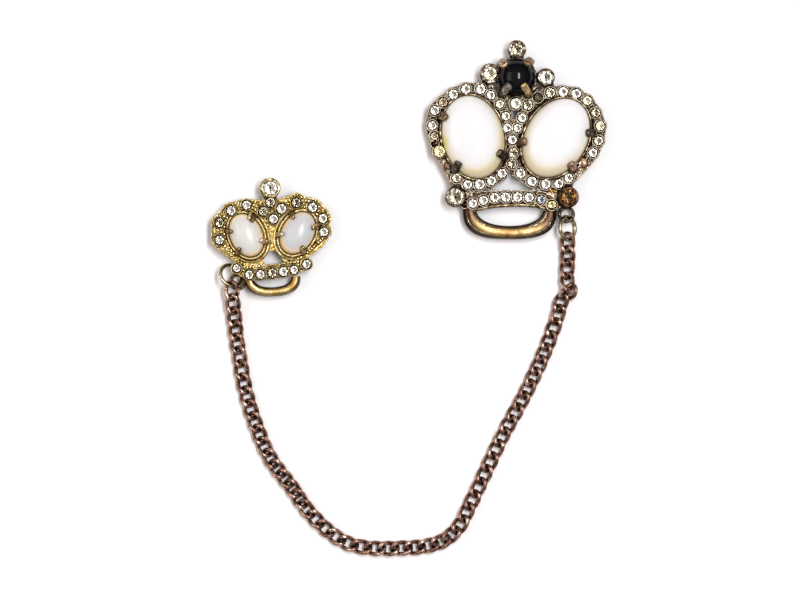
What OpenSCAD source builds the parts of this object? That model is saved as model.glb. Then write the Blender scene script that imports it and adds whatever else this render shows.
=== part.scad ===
// Chatelaine brooch: a large and a small crown brooch joined by a curb chain, lying face up.
// The surface that it lies on is z = 0, the crowns' tops point to +Y.

/* [Large crown] */
// Middle of the large crown, between its two ovals, across
large_x = 22.8; // [18:0.1:28]
// Middle of the large crown, up the piece
large_y = 34.1; // [30:0.1:38]
// Long diameter of the large crown's oval cabochons
large_oval_len = 18; // [16:0.1:20]
// Short diameter of the large crown's oval cabochons
large_oval_wid = 13.2; // [11:0.1:14]
// Height of the large crown's oval cabochons
large_oval_h = 5; // [4:0.1:6]
// Diameter of the round black cabochon
black_d = 7.7; // [7:0.1:8]
// Height of the round black cabochon
black_h = 4.2; // [3:0.1:5]

/* [Small crown] */
// Middle of the small crown, between its two ovals, across
small_x = -30.1; // [-34:0.1:-26]
// Middle of the small crown, up the piece
small_y = 13.5; // [9:0.1:18]
// Long diameter of the small crown's oval cabochons
small_oval_len = 9.6; // [8:0.1:11]
// Short diameter of the small crown's oval cabochons
small_oval_wid = 6.9; // [6:0.1:8]
// Height of the small crown's oval cabochons
small_oval_h = 3.6; // [3:0.1:4.5]

/* [Castings] */
// Width of the thin rail under the large crown's band
rail_w = 0.8; // [0.6:0.1:1]
// Thickness of the crowns' plates
plate_t = 1.3; // [1:0.1:2]
// Height of the rims round the small stones over the plate
rim_rise = 0.35; // [0.2:0.05:0.6]
// Height of the ball settings over the plate's back
ball_h = 2.1; // [1.8:0.1:3]
// Height of the wall round an oval over the plate's back
oval_wall_h = 1.9; // [1.5:0.1:2.5]
// Thickness of the wall round an oval
oval_wall_t = 0.5; // [0.3:0.05:0.8]
// Radius of the large crown's claws
claw_r = 0.5; // [0.3:0.05:0.6]
// Radius of the small crown's claws
small_claw_r = 0.4; // [0.3:0.05:0.5]
// Clearance between a claw and its stone
claw_gap = 0.13; // [0.1:0.01:0.2]
// How far a claw reaches over the edge of an oval
claw_reach = 0.8; // [0.4:0.1:1.2]
// Clearance between a stone and its setting
stone_gap = 0.08; // [0.05:0.01:0.12]

/* [Pins] */
// Height of a pin back, from the surface to the plate
pin_back_h = 2.4; // [2:0.1:4]
// Length of the large crown's pin back
large_pin_len = 27; // [20:0.5:30]
// Length of the small crown's pin back
small_pin_len = 17; // [14:0.5:20]
// Diameter of the pin stems
pin_d = 0.9; // [0.7:0.05:1.2]

/* [Chain] */
// Diameter of a link's wire
wire_d = 0.88; // [0.8:0.02:0.88]
// Length of a link over its wire
link_len = 5; // [4.95:0.05:5.05]
// Width of a link over its wire
link_wid = 3.4; // [3.35:0.05:3.45]
// How far a link's twisted corners rise and dip
link_twist = 0.64; // [0.63:0.01:0.67]
// Diameter of the jump rings' wire
ring_wire_d = 0.85; // [0.6:0.05:0.9]
// Diameter of the jump rings, wire middle to wire middle
ring_d = 4.9; // [4.7:0.05:5.1]
// Diameter of the wire of the loops cast on the crowns
loop_wire_d = 0.78; // [0.6:0.02:0.8]
// Diameter of the cast loops, wire middle to wire middle
loop_d = 3; // [2.9:0.05:3.2]

/* [Hidden] */
$fn = 48;
eps = 0.01;

// Places on a crown are in millimetres from the crown's middle, and heights from its back.
// The columns of a stone are x, y and the stone's diameter.
large_left_row = [[-3.3, 7.7, 1.8], [-5.2, 9.6, 1.9], [-7.4, 10.9, 2.1], [-10.6, 10.9, 2.1],
    [-13.3, 9.8, 2.1], [-15.5, 8.1, 2.0], [-17.3, 6.3, 2.0], [-17.8, 3.1, 1.9], [-17.3, 0.8, 1.8],
    [-12.6, -8.2, 2.0], [-10.2, -9.6, 1.9], [-7.6, -9.6, 2.2], [-5.1, -8.8, 2.0], [-2.8, -7.2, 2.0]];
large_right_row = [[4.9, 9.1, 1.9], [7.6, 10.1, 2.1], [10.3, 10.3, 2.1], [13.1, 9.9, 2.1],
    [15.5, 8.4, 2.0], [17.3, 5.8, 2.0], [18.3, 3.0, 2.0], [17.9, -0.2, 2.0], [16.7, -2.8, 1.9],
    [11.5, -8.2, 1.9], [9.4, -9.4, 2.0], [6.6, -9.5, 2.1], [3.6, -8.9, 2.1], [1.2, -7.2, 2.1]];
large_middle = [[0.1, 7.8, 2.3], [2.7, 7.4, 2.1], [-2.0, 5.1, 1.9], [1.5, 4.7, 1.9],
    [-1.7, 2.6, 1.9], [0.5, 2.5, 1.8], [-0.6, 0.0, 2.0], [-0.4, -2.8, 2.1], [-0.6, -5.2, 1.9]];
large_band = [[-9.1, -13.7, 1.9], [-6.8, -13.0, 2.0], [-4.4, -12.4, 2.0], [-2.0, -12.3, 2.1],
    [0.5, -12.3, 2.1], [3.0, -12.4, 2.0], [5.6, -12.9, 1.9], [7.9, -14.0, 1.9]];
// Thin rail under the band, its places from left to right
large_rail = [[-8.6, -15], [-6.6, -14.6], [-4.2, -14.2], [-1, -14], [2.4, -14], [5, -14.3], [7.6, -15.2]];
// The yellow stone that stands proud, and the seats whose stones are lost
yellow_stone = [-16.3, -2.5, 2.4];
empty_seats = [[-17.2, -0.9, 1.4], [-14.5, -5.6, 1.5], [14.7, -5.0, 1.9], [-10.8, -13.9, 1.2]];
// Balls: x, y, the stone's diameter and the cup's diameter
crest_ball = [0.4, 19.4, 2.6, 3.9];
left_shoulder = [-5.4, 14.2, 3.0, 4.3];
right_shoulder = [6.6, 13.4, 2.9, 3.8];
left_band_ball = [-12.8, -12.3, 3.5, 4.3];
right_band_ball = [11.4, -12.3, 3.4, 4.5];
large_balls = [crest_ball, left_shoulder, right_shoulder, left_band_ball, right_band_ball];
black_at = [0.3, 13.4];
// Ovals: x, y and how far the top leans to the left
large_left_at = [-9.0, 0.6, 14];
large_right_at = [8.8, 0.4, -30];

small_left_row = [[-4.8, 6.6, 1.9], [-8.1, 5.4, 2.0], [-10.6, 2.8, 1.9], [-10.6, -0.9, 1.9]];
small_right_row = [[5.9, 7.1, 2.0], [9.4, 6.1, 2.0], [11.6, 3.7, 2.0], [11.8, 0.8, 1.9]];
small_middle = [[0.3, 7.2, 2.1], [-1.2, 5.2, 2.0], [2.7, 5.8, 2.1], [1.0, 3.6, 2.0]];
small_band = [[-4.2, -8.4, 1.9], [-1.8, -8.3, 1.9], [0.7, -8.0, 2.0], [3.1, -7.7, 2.0],
    [5.4, -7.3, 1.8]];
small_ends = [[-6.9, -7.0, 1.7], [8.1, -6.1, 1.9]];
small_crest_ball = [0.3, 10.25, 2.9, 4.3];
small_left_at = [-4.8, 0.1, 25];
small_right_at = [6.2, 0.6, -30];

// Claws over the ovals: direction seen from the oval's middle
large_left_claws = [146, -119, -32];
large_right_claws = [187, 8, -61];
small_left_claws = [79, 167, -19, -116];
small_right_claws = [108, 21, 185, -73];
// Claws over the black cabochon: direction and reach, the lower two are long
black_claws = [[136, 0.6], [50, 0.6], [-130, 1.4], [-54, 1.7]];

// Loops cast on the crowns for the jump rings
large_cast_loop = [11.1, -16];
small_cast_loop = [-6.7, -9.9];
cast_loop_z = -0.1;

// Pin backs: place on their crowns
large_pin_at = [0, 1.5];
small_pin_at = [0.5, 0.6];

// Shape of the small stones: table and depths as shares of the diameter
table_share = 0.55;
crown_share = 0.2;
pavilion_share = 0.38;
facets = 8;
// A small stone's widest point lies at this height in a plate, and at this one in a ball
pave_girdle_z = 1.35;
ball_girdle_z = 1.95;
// The yellow stone stands this much higher than its neighbours
proud = 0.4;
// Metal left under each stone
seat_floor_z = 0.4;

// A chain's route: link number, and x, y and z of the link's middle on the whole piece
route = [[1, 34.2, 12.0, 2.0], [3, 34.2, 6.4, 1.4], [6, 32.9, -0.8, 1.2], [9, 30.2, -9.1, 1.1],
    [13, 25.6, -19.5, 1.1], [17, 20.1, -29.8, 1.1], [21, 15.0, -40.7, 1.1],
    [23, 12.4, -46.1, 1.1], [24, 11.1, -48.7, 1.1], [25, 9.2, -50.9, 1.1],
    [26, 6.9, -52.4, 1.1], [27, 4.2, -53.2, 1.1], [28, 1.3, -53.6, 1.1],
    [31, -7.3, -53.8, 1.1], [33, -13.1, -52.7, 1.1],
    [35, -18.0, -49.5, 1.1], [37, -22.0, -45.3, 1.1], [39, -25.0, -40.9, 1.1],
    [42, -29.8, -34.4, 1.1], [45, -33.15, -26.6, 1.1], [48, -35.5, -18.3, 1.1],
    [50, -36.4, -12.5, 1.1],
    [51, -36.9, -9.7, 1.15], [53, -37.5, -4.0, 1.7], [55, -38.0, 1.6, 2.8]];
links = 55;
// Links that lie otherwise: number, then x, y, z, turn, lift and roll added to the route's
odd_links = [[3, -0.07, -0.03, 0.15, 2, 4.8, -8.3], [4, 0.26, -0.56, 0.58, 17.4, 12.6, -22],
    [5, 0.97, -0.43, 0.74, -35.3, -27.3, -2.8], [6, -0.13, -0.01, 0.15, -5, 6, 4],
    [7, 0.01, 0, 0.16, 3, -4, -1.2], [54, -0.05, 0.02, 0.1, 1, 1, 0],
    [55, -0.02, 0.15, 0.39, -4.5, 5.8, -3]];

// Outlines

function oval_points(len, wid, steps) =
    [for (i = [0:steps - 1]) [wid / 2 * cos(i * 360 / steps), len / 2 * sin(i * 360 / steps)]];

module at_oval(place)
    translate([place[0], place[1], 0])
        rotate([0, 0, place[2]])
            children();

module oval(len, wid, grow, steps = 40)
    polygon(oval_points(len + 2 * grow, wid + 2 * grow, steps));

// Where a stone or ball stands
function spot(s) = [s[0], s[1]];

// A bar with square ends between two places
module strip(from, to, w) {
    along = to - from;
    translate(from)
        rotate([0, 0, atan2(along[1], along[0])])
            translate([0, -w / 2])
                square([norm(along), w]);
}

// Bars of one width from each place of a row to the next, but not over a break in the row
row_break = 4;

module strips(row, w)
    for (i = [0:len(row) - 2])
        if (norm(spot(row[i + 1]) - spot(row[i])) < row_break)
            strip(spot(row[i]), spot(row[i + 1]), w);

module discs(stones, grow)
    for (s = stones)
        translate([s[0], s[1]])
            circle(d = s[2] + 2 * grow);

function blunt(v, power) = sign(v) * pow(abs(v), 2 / power);

// A rounded D, the outline of the loop below a crown's band
module blunt_oval(wid, len, power, steps = 48)
    polygon([for (i = [0:steps - 1])
        [wid / 2 * blunt(cos(i * 360 / steps), power), len / 2 * blunt(sin(i * 360 / steps), power)]]);

// Stones

module cut_stone(d) {
    girdle = [for (i = [0:facets - 1]) [d / 2 * cos(i * 360 / facets), d / 2 * sin(i * 360 / facets), 0]];
    top = [for (i = [0:facets - 1])
        let (a = (i + 0.5) * 360 / facets)
        [d / 2 * table_share * cos(a), d / 2 * table_share * sin(a), d * crown_share]];
    culet = [[0, 0, -d * pavilion_share]];
    last = 2 * facets;
    polyhedron(concat(girdle, top, culet), concat(
        [[for (i = [facets - 1:-1:0]) facets + i]],
        [for (i = [0:facets - 1]) [i, facets + i, (i + 1) % facets]],
        [for (i = [0:facets - 1]) [facets + i, facets + (i + 1) % facets, (i + 1) % facets]],
        [for (i = [0:facets - 1]) [i, (i + 1) % facets, last]]));
}

module stones(list, z)
    for (s = list)
        translate([s[0], s[1], z])
            cut_stone(s[2]);

// An oval cabochon: a straight foot, then a dome, as rings of points
module oval_cabochon(len, wid, h, foot, steps = 32, rings = 6) {
    points = concat(
        [for (i = [0:steps - 1]) let (a = i * 360 / steps) [wid / 2 * cos(a), len / 2 * sin(a), 0]],
        [for (k = [0:rings - 1], i = [0:steps - 1])
            let (a = i * 360 / steps, up = k * 90 / rings)
            [wid / 2 * cos(a) * cos(up), len / 2 * sin(a) * cos(up), foot + (h - foot) * sin(up)]],
        [[0, 0, h]]);
    apex = (rings + 1) * steps;
    polyhedron(points, concat(
        [[for (i = [0:steps - 1]) i]],
        [for (k = [0:rings - 1], i = [0:steps - 1])
            let (a = k * steps + i, b = k * steps + (i + 1) % steps)
            [a, a + steps, b]],
        [for (k = [0:rings - 1], i = [0:steps - 1])
            let (a = k * steps + i, b = k * steps + (i + 1) % steps)
            [b, a + steps, b + steps]],
        [for (i = [0:steps - 1]) [rings * steps + i, apex, rings * steps + (i + 1) % steps]]));
}

// Claws

// Distance from an oval's middle to its edge in a direction turned from the oval's short axis
function edge_at(len, wid, a) = 1 / sqrt(pow(cos(a) / (wid / 2), 2) + pow(sin(a) / (len / 2), 2));

// A place over a dome: how far out and how high, clear of the stone by a claw's radius and the gap
function over_dome(edge, foot, rise, up, off) =
    let (out = cos(up) / edge, high = sin(up) / rise, size = norm([out, high]))
    [edge * cos(up) + off * out / size, foot + rise * sin(up) + off * high / size];

module rod(from, to, r) {
    along = to - from;
    translate(from)
        rotate([0, acos(along[2] / norm(along)), atan2(along[1], along[0])])
            cylinder(r = r, h = norm(along));
}

// One claw that climbs beside a dome and leans over its edge
module claw(r, edge, reach, foot_z, foot, rise) {
    off = r + claw_gap;
    stand = edge + off + 0.1;
    points = concat([[stand, 0, 0.3], [stand, 0, foot_z + foot]],
        [for (share = reach > 1 ? [0.1, 0.4, 0.7, 1] : [0.3, 1])
            let (tip = over_dome(edge, foot_z + foot, rise, acos(1 - share * reach / edge), off))
            [tip[0], 0, tip[1]]]);
    for (i = [0:len(points) - 2])
        rod(points[i], points[i + 1], r);
    for (i = [1:len(points) - 1])
        translate(points[i])
            sphere(r = r + 0.02, $fn = 24);
}

module oval_claws(r, place, claws, len, wid, foot_z, foot, rise)
    for (a = claws)
        translate([place[0], place[1], 0])
            rotate([0, 0, a])
                claw(r, edge_at(len, wid, a - place[2]), claw_reach, foot_z, foot, rise);

// Large crown

oval_seat_z = 0.5;
large_foot = oval_wall_h - oval_seat_z - stone_gap;
black_seat_z = 2.2;
black_foot = 0.8;

module large_plate() {
    difference() {
        union() {
            at_oval(large_left_at) oval(large_oval_len, large_oval_wid, 1.7);
            at_oval(large_right_at) oval(large_oval_len, large_oval_wid, 1.7);
            polygon([[-3.2, 9], [5, 9.4], [2.2, 2], [1.2, -6.8], [-2.6, -6.8], [-2.4, 2]]);
            // Shoulders and crest
            translate(black_at) circle(d = black_d + 1.2);
            strip(spot(crest_ball), black_at, 3);
            strip(spot(left_shoulder), [-6.4, 9.6], 2.6);
            strip(spot(left_shoulder), black_at, 2.2);
            strip(spot(right_shoulder), [7.6, 9.8], 2.6);
            strip(spot(right_shoulder), black_at, 2.2);
            polygon([[-4.6, 8.4], [5.6, 9.4], [3.4, 12], [-3.2, 12]]);
            // Band, and the webs up to the ovals
            strips(large_band, 3.2);
            strips(large_rail, rail_w);
            discs([for (r = large_rail) [r[0], r[1], rail_w]], 0);
            strip(spot(left_band_ball), spot(large_band[0]), 2.4);
            strip(spot(right_band_ball), spot(large_band[7]), 2.4);
            polygon([[-13.6, -8], [-3, -8.6], [-4, -12.6], [-12.8, -13]]);
            polygon([[1.6, -8.6], [12.6, -7.4], [11.4, -13], [3, -12.6]]);
            // Edges of the rows, and the straight sides down to the band
            strips(large_left_row, 2.7);
            strips(large_right_row, 2.7);
            polygon([[-16.6, 1], [-18.1, -1], [-17.9, -2.6], [-17.1, -3.8], [-16.1, -4.6], [-15.6, -5.8],
                [-14.4, -8.2], [-13.8, -9.6], [-13.7, -10.6], [-10, -10], [-12, -2]]);
            polygon([[16.6, -1], [17.8, -2.6], [17.5, -3.9], [16.1, -5.7], [14.9, -7], [13.6, -8.2],
                [12.6, -9.4], [12.2, -10.8], [10, -10], [12, -2]]);
        }
        // Gap between the ovals and the band, and the notch between the ovals' tops
        polygon([[-0.8, -7], [-5.6, -10.9], [4.8, -10.9]]);
        polygon([[-1, 6.9], [1, 6.9], [0.2, 4.6], [-0.6, 4.4]]);
        polygon([[-9.4, -11.6], [-8.4, -11.3], [-8.6, -12.2]]);
    }
    discs(large_left_row, 0.5);
    discs(large_right_row, 0.5);
    discs(large_middle, 0.45);
    discs(large_band, 0.45);
    discs(empty_seats, 0.45);
}

// The half-round loop below the band, in steps: height, inset and thickness
module half_round_loop(at, turn, wid, len, bar, power) {
    steps = [[0, 0, 0.5], [0.5, 0.18, 0.4], [0.9, 0.42, 0.3], [1.2, 0.75, 0.2]];
    translate([at[0], at[1], 0])
        rotate([0, 0, turn])
            for (s = steps)
                translate([0, 0, s[0]])
                    linear_extrude(s[2])
                        difference() {
                            blunt_oval(wid - 2 * s[1], len - 2 * s[1], power);
                            blunt_oval(wid - 2 * bar + 2 * s[1], len - 2 * bar + 2 * s[1], 2.2);
                            translate([-wid, 0])
                                square([2 * wid, len]);
                        }
}

module ball_cup(b)
    translate([b[0], b[1], 0]) {
        cylinder(d1 = b[3] - 1.2, d2 = b[3], h = 0.7);
        translate([0, 0, 0.7])
            cylinder(d = b[3], h = ball_h - 0.7);
    }

// A round hole for one stone, open at the top
module seat(s)
    translate([s[0], s[1], seat_floor_z])
        cylinder(d = s[2] + 2 * stone_gap, h = 4);

module cast_loop(at)
    translate([at[0], at[1], cast_loop_z])
        rotate_extrude()
            translate([loop_d / 2, 0])
                circle(d = loop_wire_d, $fn = 24);

module large_crown_frame()
    color("rosybrown")
        translate([large_x, large_y, pin_back_h]) {
            difference() {
                union() {
                    linear_extrude(plate_t) large_plate();
                    linear_extrude(plate_t + rim_rise) {
                        discs(large_left_row, 0.4);
                        discs(large_right_row, 0.4);
                        discs(large_middle, 0.4);
                        discs(large_band, 0.4);
                        discs([yellow_stone], 0.25);
                    }
                    linear_extrude(oval_wall_h) {
                        at_oval(large_left_at) oval(large_oval_len, large_oval_wid, oval_wall_t + stone_gap);
                        at_oval(large_right_at) oval(large_oval_len, large_oval_wid, oval_wall_t + stone_gap);
                    }
                    for (b = large_balls)
                        ball_cup(b);
                    translate([black_at[0], black_at[1], 0])
                        cylinder(d = black_d - 0.6, h = black_seat_z - stone_gap);
                    half_round_loop([-1.1, -14.6], 0, 20.2, 13.4, 2.8, 2.9);
                }
                for (place = [large_left_at, large_right_at])
                    translate([0, 0, oval_seat_z])
                        linear_extrude(4)
                            at_oval(place)
                                oval(large_oval_len, large_oval_wid, stone_gap);
                for (row = [large_left_row, large_right_row, large_middle, large_band, empty_seats])
                    for (s = row)
                        seat(s);
                seat(yellow_stone);
                for (b = large_balls)
                    seat(b);
            }
            oval_claws(claw_r, large_left_at, large_left_claws, large_oval_len, large_oval_wid,
                oval_seat_z + stone_gap, large_foot, large_oval_h - large_foot);
            oval_claws(claw_r, large_right_at, large_right_claws, large_oval_len, large_oval_wid,
                oval_seat_z + stone_gap, large_foot, large_oval_h - large_foot);
            for (c = black_claws)
                translate([black_at[0], black_at[1], 0])
                    rotate([0, 0, c[0]])
                        claw(claw_r, black_d / 2, c[1], black_seat_z, black_foot, black_h - black_foot);
            cast_loop(large_cast_loop);
            // Neck between the cast loop and the ball above it
            translate([large_cast_loop[0], large_cast_loop[1] + loop_d / 2, -0.4])
                cylinder(d = 1, h = 1.2);
        }

module large_oval_stone(place)
    translate([large_x, large_y, pin_back_h + oval_seat_z + stone_gap])
        at_oval(place)
            oval_cabochon(large_oval_len, large_oval_wid, large_oval_h, large_foot);

module large_left_oval()
    color("white")
        large_oval_stone(large_left_at);

module large_right_oval()
    color("white")
        large_oval_stone(large_right_at);

module black_cabochon()
    color("black")
        translate([large_x + black_at[0], large_y + black_at[1], pin_back_h + black_seat_z])
            rotate_extrude()
                polygon(concat([[0, 0], [black_d / 2, 0]],
                    [for (up = [0:7.5:90])
                        [black_d / 2 * cos(up), black_foot + (black_h - black_foot) * sin(up)]]));

module ball_stone(b)
    translate([large_x, large_y, pin_back_h])
        stones([b], ball_girdle_z);

module crest_stone()
    color("lightyellow")
        ball_stone(crest_ball);

module left_shoulder_stone()
    color("lightyellow")
        ball_stone(left_shoulder);

module right_shoulder_stone()
    color("lightyellow")
        ball_stone(right_shoulder);

module left_band_stone()
    color("lightyellow")
        ball_stone(left_band_ball);

module right_band_stone()
    color("sienna")
        ball_stone(right_band_ball);

module large_pave_stones()
    color("lightcyan")
        translate([large_x, large_y, pin_back_h]) {
            stones(large_left_row, pave_girdle_z);
            stones(large_right_row, pave_girdle_z);
            stones(large_middle, pave_girdle_z);
            stones(large_band, pave_girdle_z);
            stones([yellow_stone], pave_girdle_z + proud);
        }

// Small crown

small_foot = oval_wall_h - oval_seat_z - 0.3 - stone_gap;

module small_plate() {
    difference() {
        union() {
            at_oval(small_left_at) oval(small_oval_len, small_oval_wid, 1.5);
            at_oval(small_right_at) oval(small_oval_len, small_oval_wid, 1.5);
            polygon([[-2.6, 7.6], [4, 7.8], [2.4, -3.2], [-0.6, -3.2]]);
            strip(spot(small_crest_ball), [0.2, 7], 3);
            // Band, and the webs up to the ovals
            strips(small_band, 2.5);
            strip(spot(small_ends[0]), spot(small_band[0]), 2.2);
            strip(spot(small_ends[1]), spot(small_band[4]), 2.2);
            polygon([[-8, -4.6], [-1, -4.6], [-1.6, -7.8], [-6.6, -7.4]]);
            polygon([[3, -4.4], [9, -3.8], [8.2, -6.4], [2.6, -7.2]]);
            polygon([[-4.4, -6], [6, -5], [6, -7], [-4.4, -8]]);
            // Edges of the rows, and the sides below them
            strips([small_left_row[1], small_left_row[2], small_left_row[3]], 3.4);
            polygon([[-8.4, 7.1], [-6, 7.8], [-4.7, 8], [-3.2, 7.8], [-2, 7.8], [-2, 4], [-8, 4.6]]);
            strips(small_right_row, 3.2);
            polygon([[1.8, 8], [3.4, 8.3], [4.7, 8.9], [5.9, 9.3], [6.9, 9.1], [8, 8.4], [9.2, 8.2],
                [10.3, 8], [11.2, 7.3], [11.8, 6.4], [12.8, 5.4], [13.4, 4.4], [13.4, 3], [11, 3], [9, 5],
                [5, 6], [1.8, 5]]);
            polygon([[-10, -1], [-12.1, -1.8], [-10.8, -3.2], [-7, -5.8], [-5, -5], [-6, -2]]);
            polygon([[10, 0], [13, -0.6], [11.6, -2.4], [8.6, -4.6], [6.6, -4], [8, -1]]);
        }
        polygon([[1, -3.5], [-1.4, -6.3], [3.7, -5.75]]);
    }
    discs([small_left_row[0]], 0.45);
    discs([small_left_row[1], small_left_row[2], small_left_row[3]], 0.85);
    discs(small_right_row, 0.75);
    discs(small_middle, 0.6);
    discs(small_band, 0.4);
    discs(small_ends, 0.45);
}

module small_crown_frame()
    color("goldenrod")
        translate([small_x, small_y, pin_back_h]) {
            difference() {
                union() {
                    linear_extrude(plate_t) small_plate();
                    linear_extrude(plate_t + rim_rise) {
                        discs(small_left_row, 0.35);
                        discs(small_right_row, 0.35);
                        discs(small_middle, 0.35);
                        discs(small_band, 0.35);
                        discs(small_ends, 0.4);
                    }
                    linear_extrude(oval_wall_h - 0.3) {
                        at_oval(small_left_at) oval(small_oval_len, small_oval_wid, oval_wall_t + stone_gap);
                        at_oval(small_right_at) oval(small_oval_len, small_oval_wid, oval_wall_t + stone_gap);
                    }
                    ball_cup(small_crest_ball);
                    half_round_loop([0.8, -9], 3, 11.9, 8, 1.9, 2.5);
                }
                for (place = [small_left_at, small_right_at])
                    translate([0, 0, oval_seat_z])
                        linear_extrude(4)
                            at_oval(place)
                                oval(small_oval_len, small_oval_wid, stone_gap);
                for (row = [small_left_row, small_right_row, small_middle, small_band, small_ends])
                    for (s = row)
                        seat(s);
                seat(small_crest_ball);
            }
            oval_claws(small_claw_r, small_left_at, small_left_claws, small_oval_len, small_oval_wid,
                oval_seat_z + stone_gap, small_foot, small_oval_h - small_foot);
            oval_claws(small_claw_r, small_right_at, small_right_claws, small_oval_len, small_oval_wid,
                oval_seat_z + stone_gap, small_foot, small_oval_h - small_foot);
            cast_loop(small_cast_loop);
        }

module small_oval_stone(place)
    translate([small_x, small_y, pin_back_h + oval_seat_z + stone_gap])
        at_oval(place)
            oval_cabochon(small_oval_len, small_oval_wid, small_oval_h, small_foot);

module small_left_oval()
    color("lavender")
        small_oval_stone(small_left_at);

module small_right_oval()
    color("lavender")
        small_oval_stone(small_right_at);

module small_crest_stone()
    color("lightcyan")
        translate([small_x, small_y, pin_back_h])
            stones([small_crest_ball], ball_girdle_z);

module small_pave_stones()
    color("lightcyan")
        translate([small_x, small_y, pin_back_h]) {
            stones(small_left_row, pave_girdle_z);
            stones(small_right_row, pave_girdle_z);
            stones(small_middle, pave_girdle_z);
            stones(small_band, pave_girdle_z);
            stones(small_ends, pave_girdle_z);
        }

// Pin backs: a bar, a joint block, a catch with a slot, and the stem between them

bar_t = 0.6;
back_gap = 0.05;
foot_len = 2.4;
foot_wid = 3;
slot_h = pin_d + 0.3;

module pin_back(len) {
    stem_z = (pin_back_h - bar_t - back_gap) / 2;
    translate([-len / 2, -foot_wid / 2, pin_back_h - bar_t - back_gap])
        cube([len, foot_wid, bar_t]);
    translate([len / 2 - foot_len, -foot_wid / 2, 0])
        cube([foot_len, foot_wid, pin_back_h - back_gap - eps]);
    difference() {
        translate([-len / 2, -foot_wid / 2, 0])
            cube([foot_len, foot_wid, pin_back_h - back_gap - eps]);
        translate([-len / 2 - 1, -foot_wid / 2 - 1, stem_z - slot_h / 2])
            cube([foot_len + 2, foot_wid / 2 + 1 + slot_h / 2, slot_h]);
    }
    translate([-len / 2 + foot_len, 0, stem_z])
        rotate([0, 90, 0])
            cylinder(d = pin_d, h = len - 2 * foot_len + 0.5);
    translate([-len / 2 - 0.6, 0, stem_z])
        rotate([0, 90, 0])
            cylinder(d1 = 0.2, d2 = pin_d, h = foot_len + 0.6);
}

module large_pin_back()
    color("darkkhaki")
        translate([large_x + large_pin_at[0], large_y + large_pin_at[1], 0])
            pin_back(large_pin_len);

module small_pin_back()
    color("darkkhaki")
        translate([small_x + small_pin_at[0], small_y + small_pin_at[1], 0])
            pin_back(small_pin_len);

// Jump rings: each leans so that it goes down through the cast loop and up outside it

// The ring's plane falls along a direction by a share of the way
module leaning_ring(at, fall_to, fall)
    translate(at)
        rotate([0, 0, fall_to])
            rotate([0, atan(fall), 0])
                rotate_extrude()
                    translate([ring_d / 2, 0])
                        circle(d = ring_wire_d, $fn = 24);

module large_jump_ring()
    color("goldenrod")
        leaning_ring([34.15, 15.16, 2.24], 3.3, 1.08);

module small_jump_ring()
    color("goldenrod")
        leaning_ring([-38.31, 4.94, 2.56], 41, 0.79);

// Chain: each link is an oval ring of wire, twisted so that it lies flat between its neighbours

sections = 14;
sides = 6;

function unit(v) = v / norm(v);

function link_middle(a) =
    [(link_len - wire_d) / 2 * cos(a), (link_wid - wire_d) / 2 * sin(a), -link_twist * sin(2 * a)];

function link_ring(a) =
    let (
        middle = link_middle(a),
        along = unit(link_middle(a + 1) - link_middle(a - 1)),
        out = unit(cross(along, [0, 0, 1])),
        up = cross(out, along))
    [for (j = [0:sides - 1])
        let (b = (j + 0.5) * 360 / sides)
        middle + wire_d / 2 * (cos(b) * out + sin(b) * up)];

link_points = [for (i = [0:sections - 1]) each link_ring(i * 360 / sections)];
link_faces = [for (i = [0:sections - 1], j = [0:sides - 1], half = [0, 1])
    let (
        a = i * sides + j,
        b = i * sides + (j + 1) % sides,
        c = ((i + 1) % sections) * sides + j,
        d = ((i + 1) % sections) * sides + (j + 1) % sides)
    half == 0 ? [a, b, c] : [b, d, c]];

// The route as a smooth curve through its places, counted in links
function before(n) = max([for (k = [0:len(route) - 2]) route[k][0] <= n ? k : 0]);
function place(k) = [route[k][1], route[k][2], route[k][3]];
function pace(k) =
    let (a = max(k - 1, 0), b = min(k + 1, len(route) - 1))
    (place(b) - place(a)) / (route[b][0] - route[a][0]);
function on_route(n) =
    let (
        k = before(n),
        span = route[k + 1][0] - route[k][0],
        t = (n - route[k][0]) / span,
        s = 1 - t)
    place(k) * s * s * (1 + 2 * t) + place(k + 1) * t * t * (1 + 2 * s)
        + span * (pace(k) * t * s * s - pace(k + 1) * t * t * s);

// What a link's pose adds to the route: x, y, z, turn, lift and roll
function odd(n) = concat([for (o = odd_links) if (o[0] == n) o], [[n, 0, 0, 0, 0, 0, 0]])[0];

module chain_link(n) {
    ahead = on_route(n + 0.4) - on_route(n - 0.4);
    o = odd(n);
    translate(on_route(n) + [o[1], o[2], o[3]])
        rotate([o[6], -asin(ahead[2] / norm(ahead)) - o[5], atan2(ahead[1], ahead[0]) + o[4]])
            polyhedron(link_points, link_faces);
}

module chain()
    color("peru")
        for (n = [1:links])
            chain_link(n);

large_crown_frame();
large_pin_back();
large_left_oval();
large_right_oval();
black_cabochon();
crest_stone();
left_shoulder_stone();
right_shoulder_stone();
left_band_stone();
right_band_stone();
large_pave_stones();
large_jump_ring();
chain();
small_jump_ring();
small_crown_frame();
small_pin_back();
small_left_oval();
small_right_oval();
small_crest_stone();
small_pave_stones();
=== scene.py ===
# %% [markdown]
# # Chatelaine brooch: two crowns on a curb chain
#
# A large crown brooch and a small one lie face up on white paper, joined by a curb chain.
# The solids of the castings, stones, rings and chain are already made. This lesson dresses
# them: it gives the castings their ornament and their finish, and it makes the stones, the
# claws, the rings and the links again with finer meshes at the same places.
#
# Every measure is in millimetres here and becomes metres when a mesh is made.

# %% Load the solids
import random
from itertools import combinations
from math import acos, asin, atan, atan2, copysign, cos, degrees, dist, hypot, pi, radians, sin, tan

import bmesh
import bpy
import numpy as np
from mathutils import Euler, Matrix, Vector
from mathutils.bvhtree import BVHTree


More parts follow.
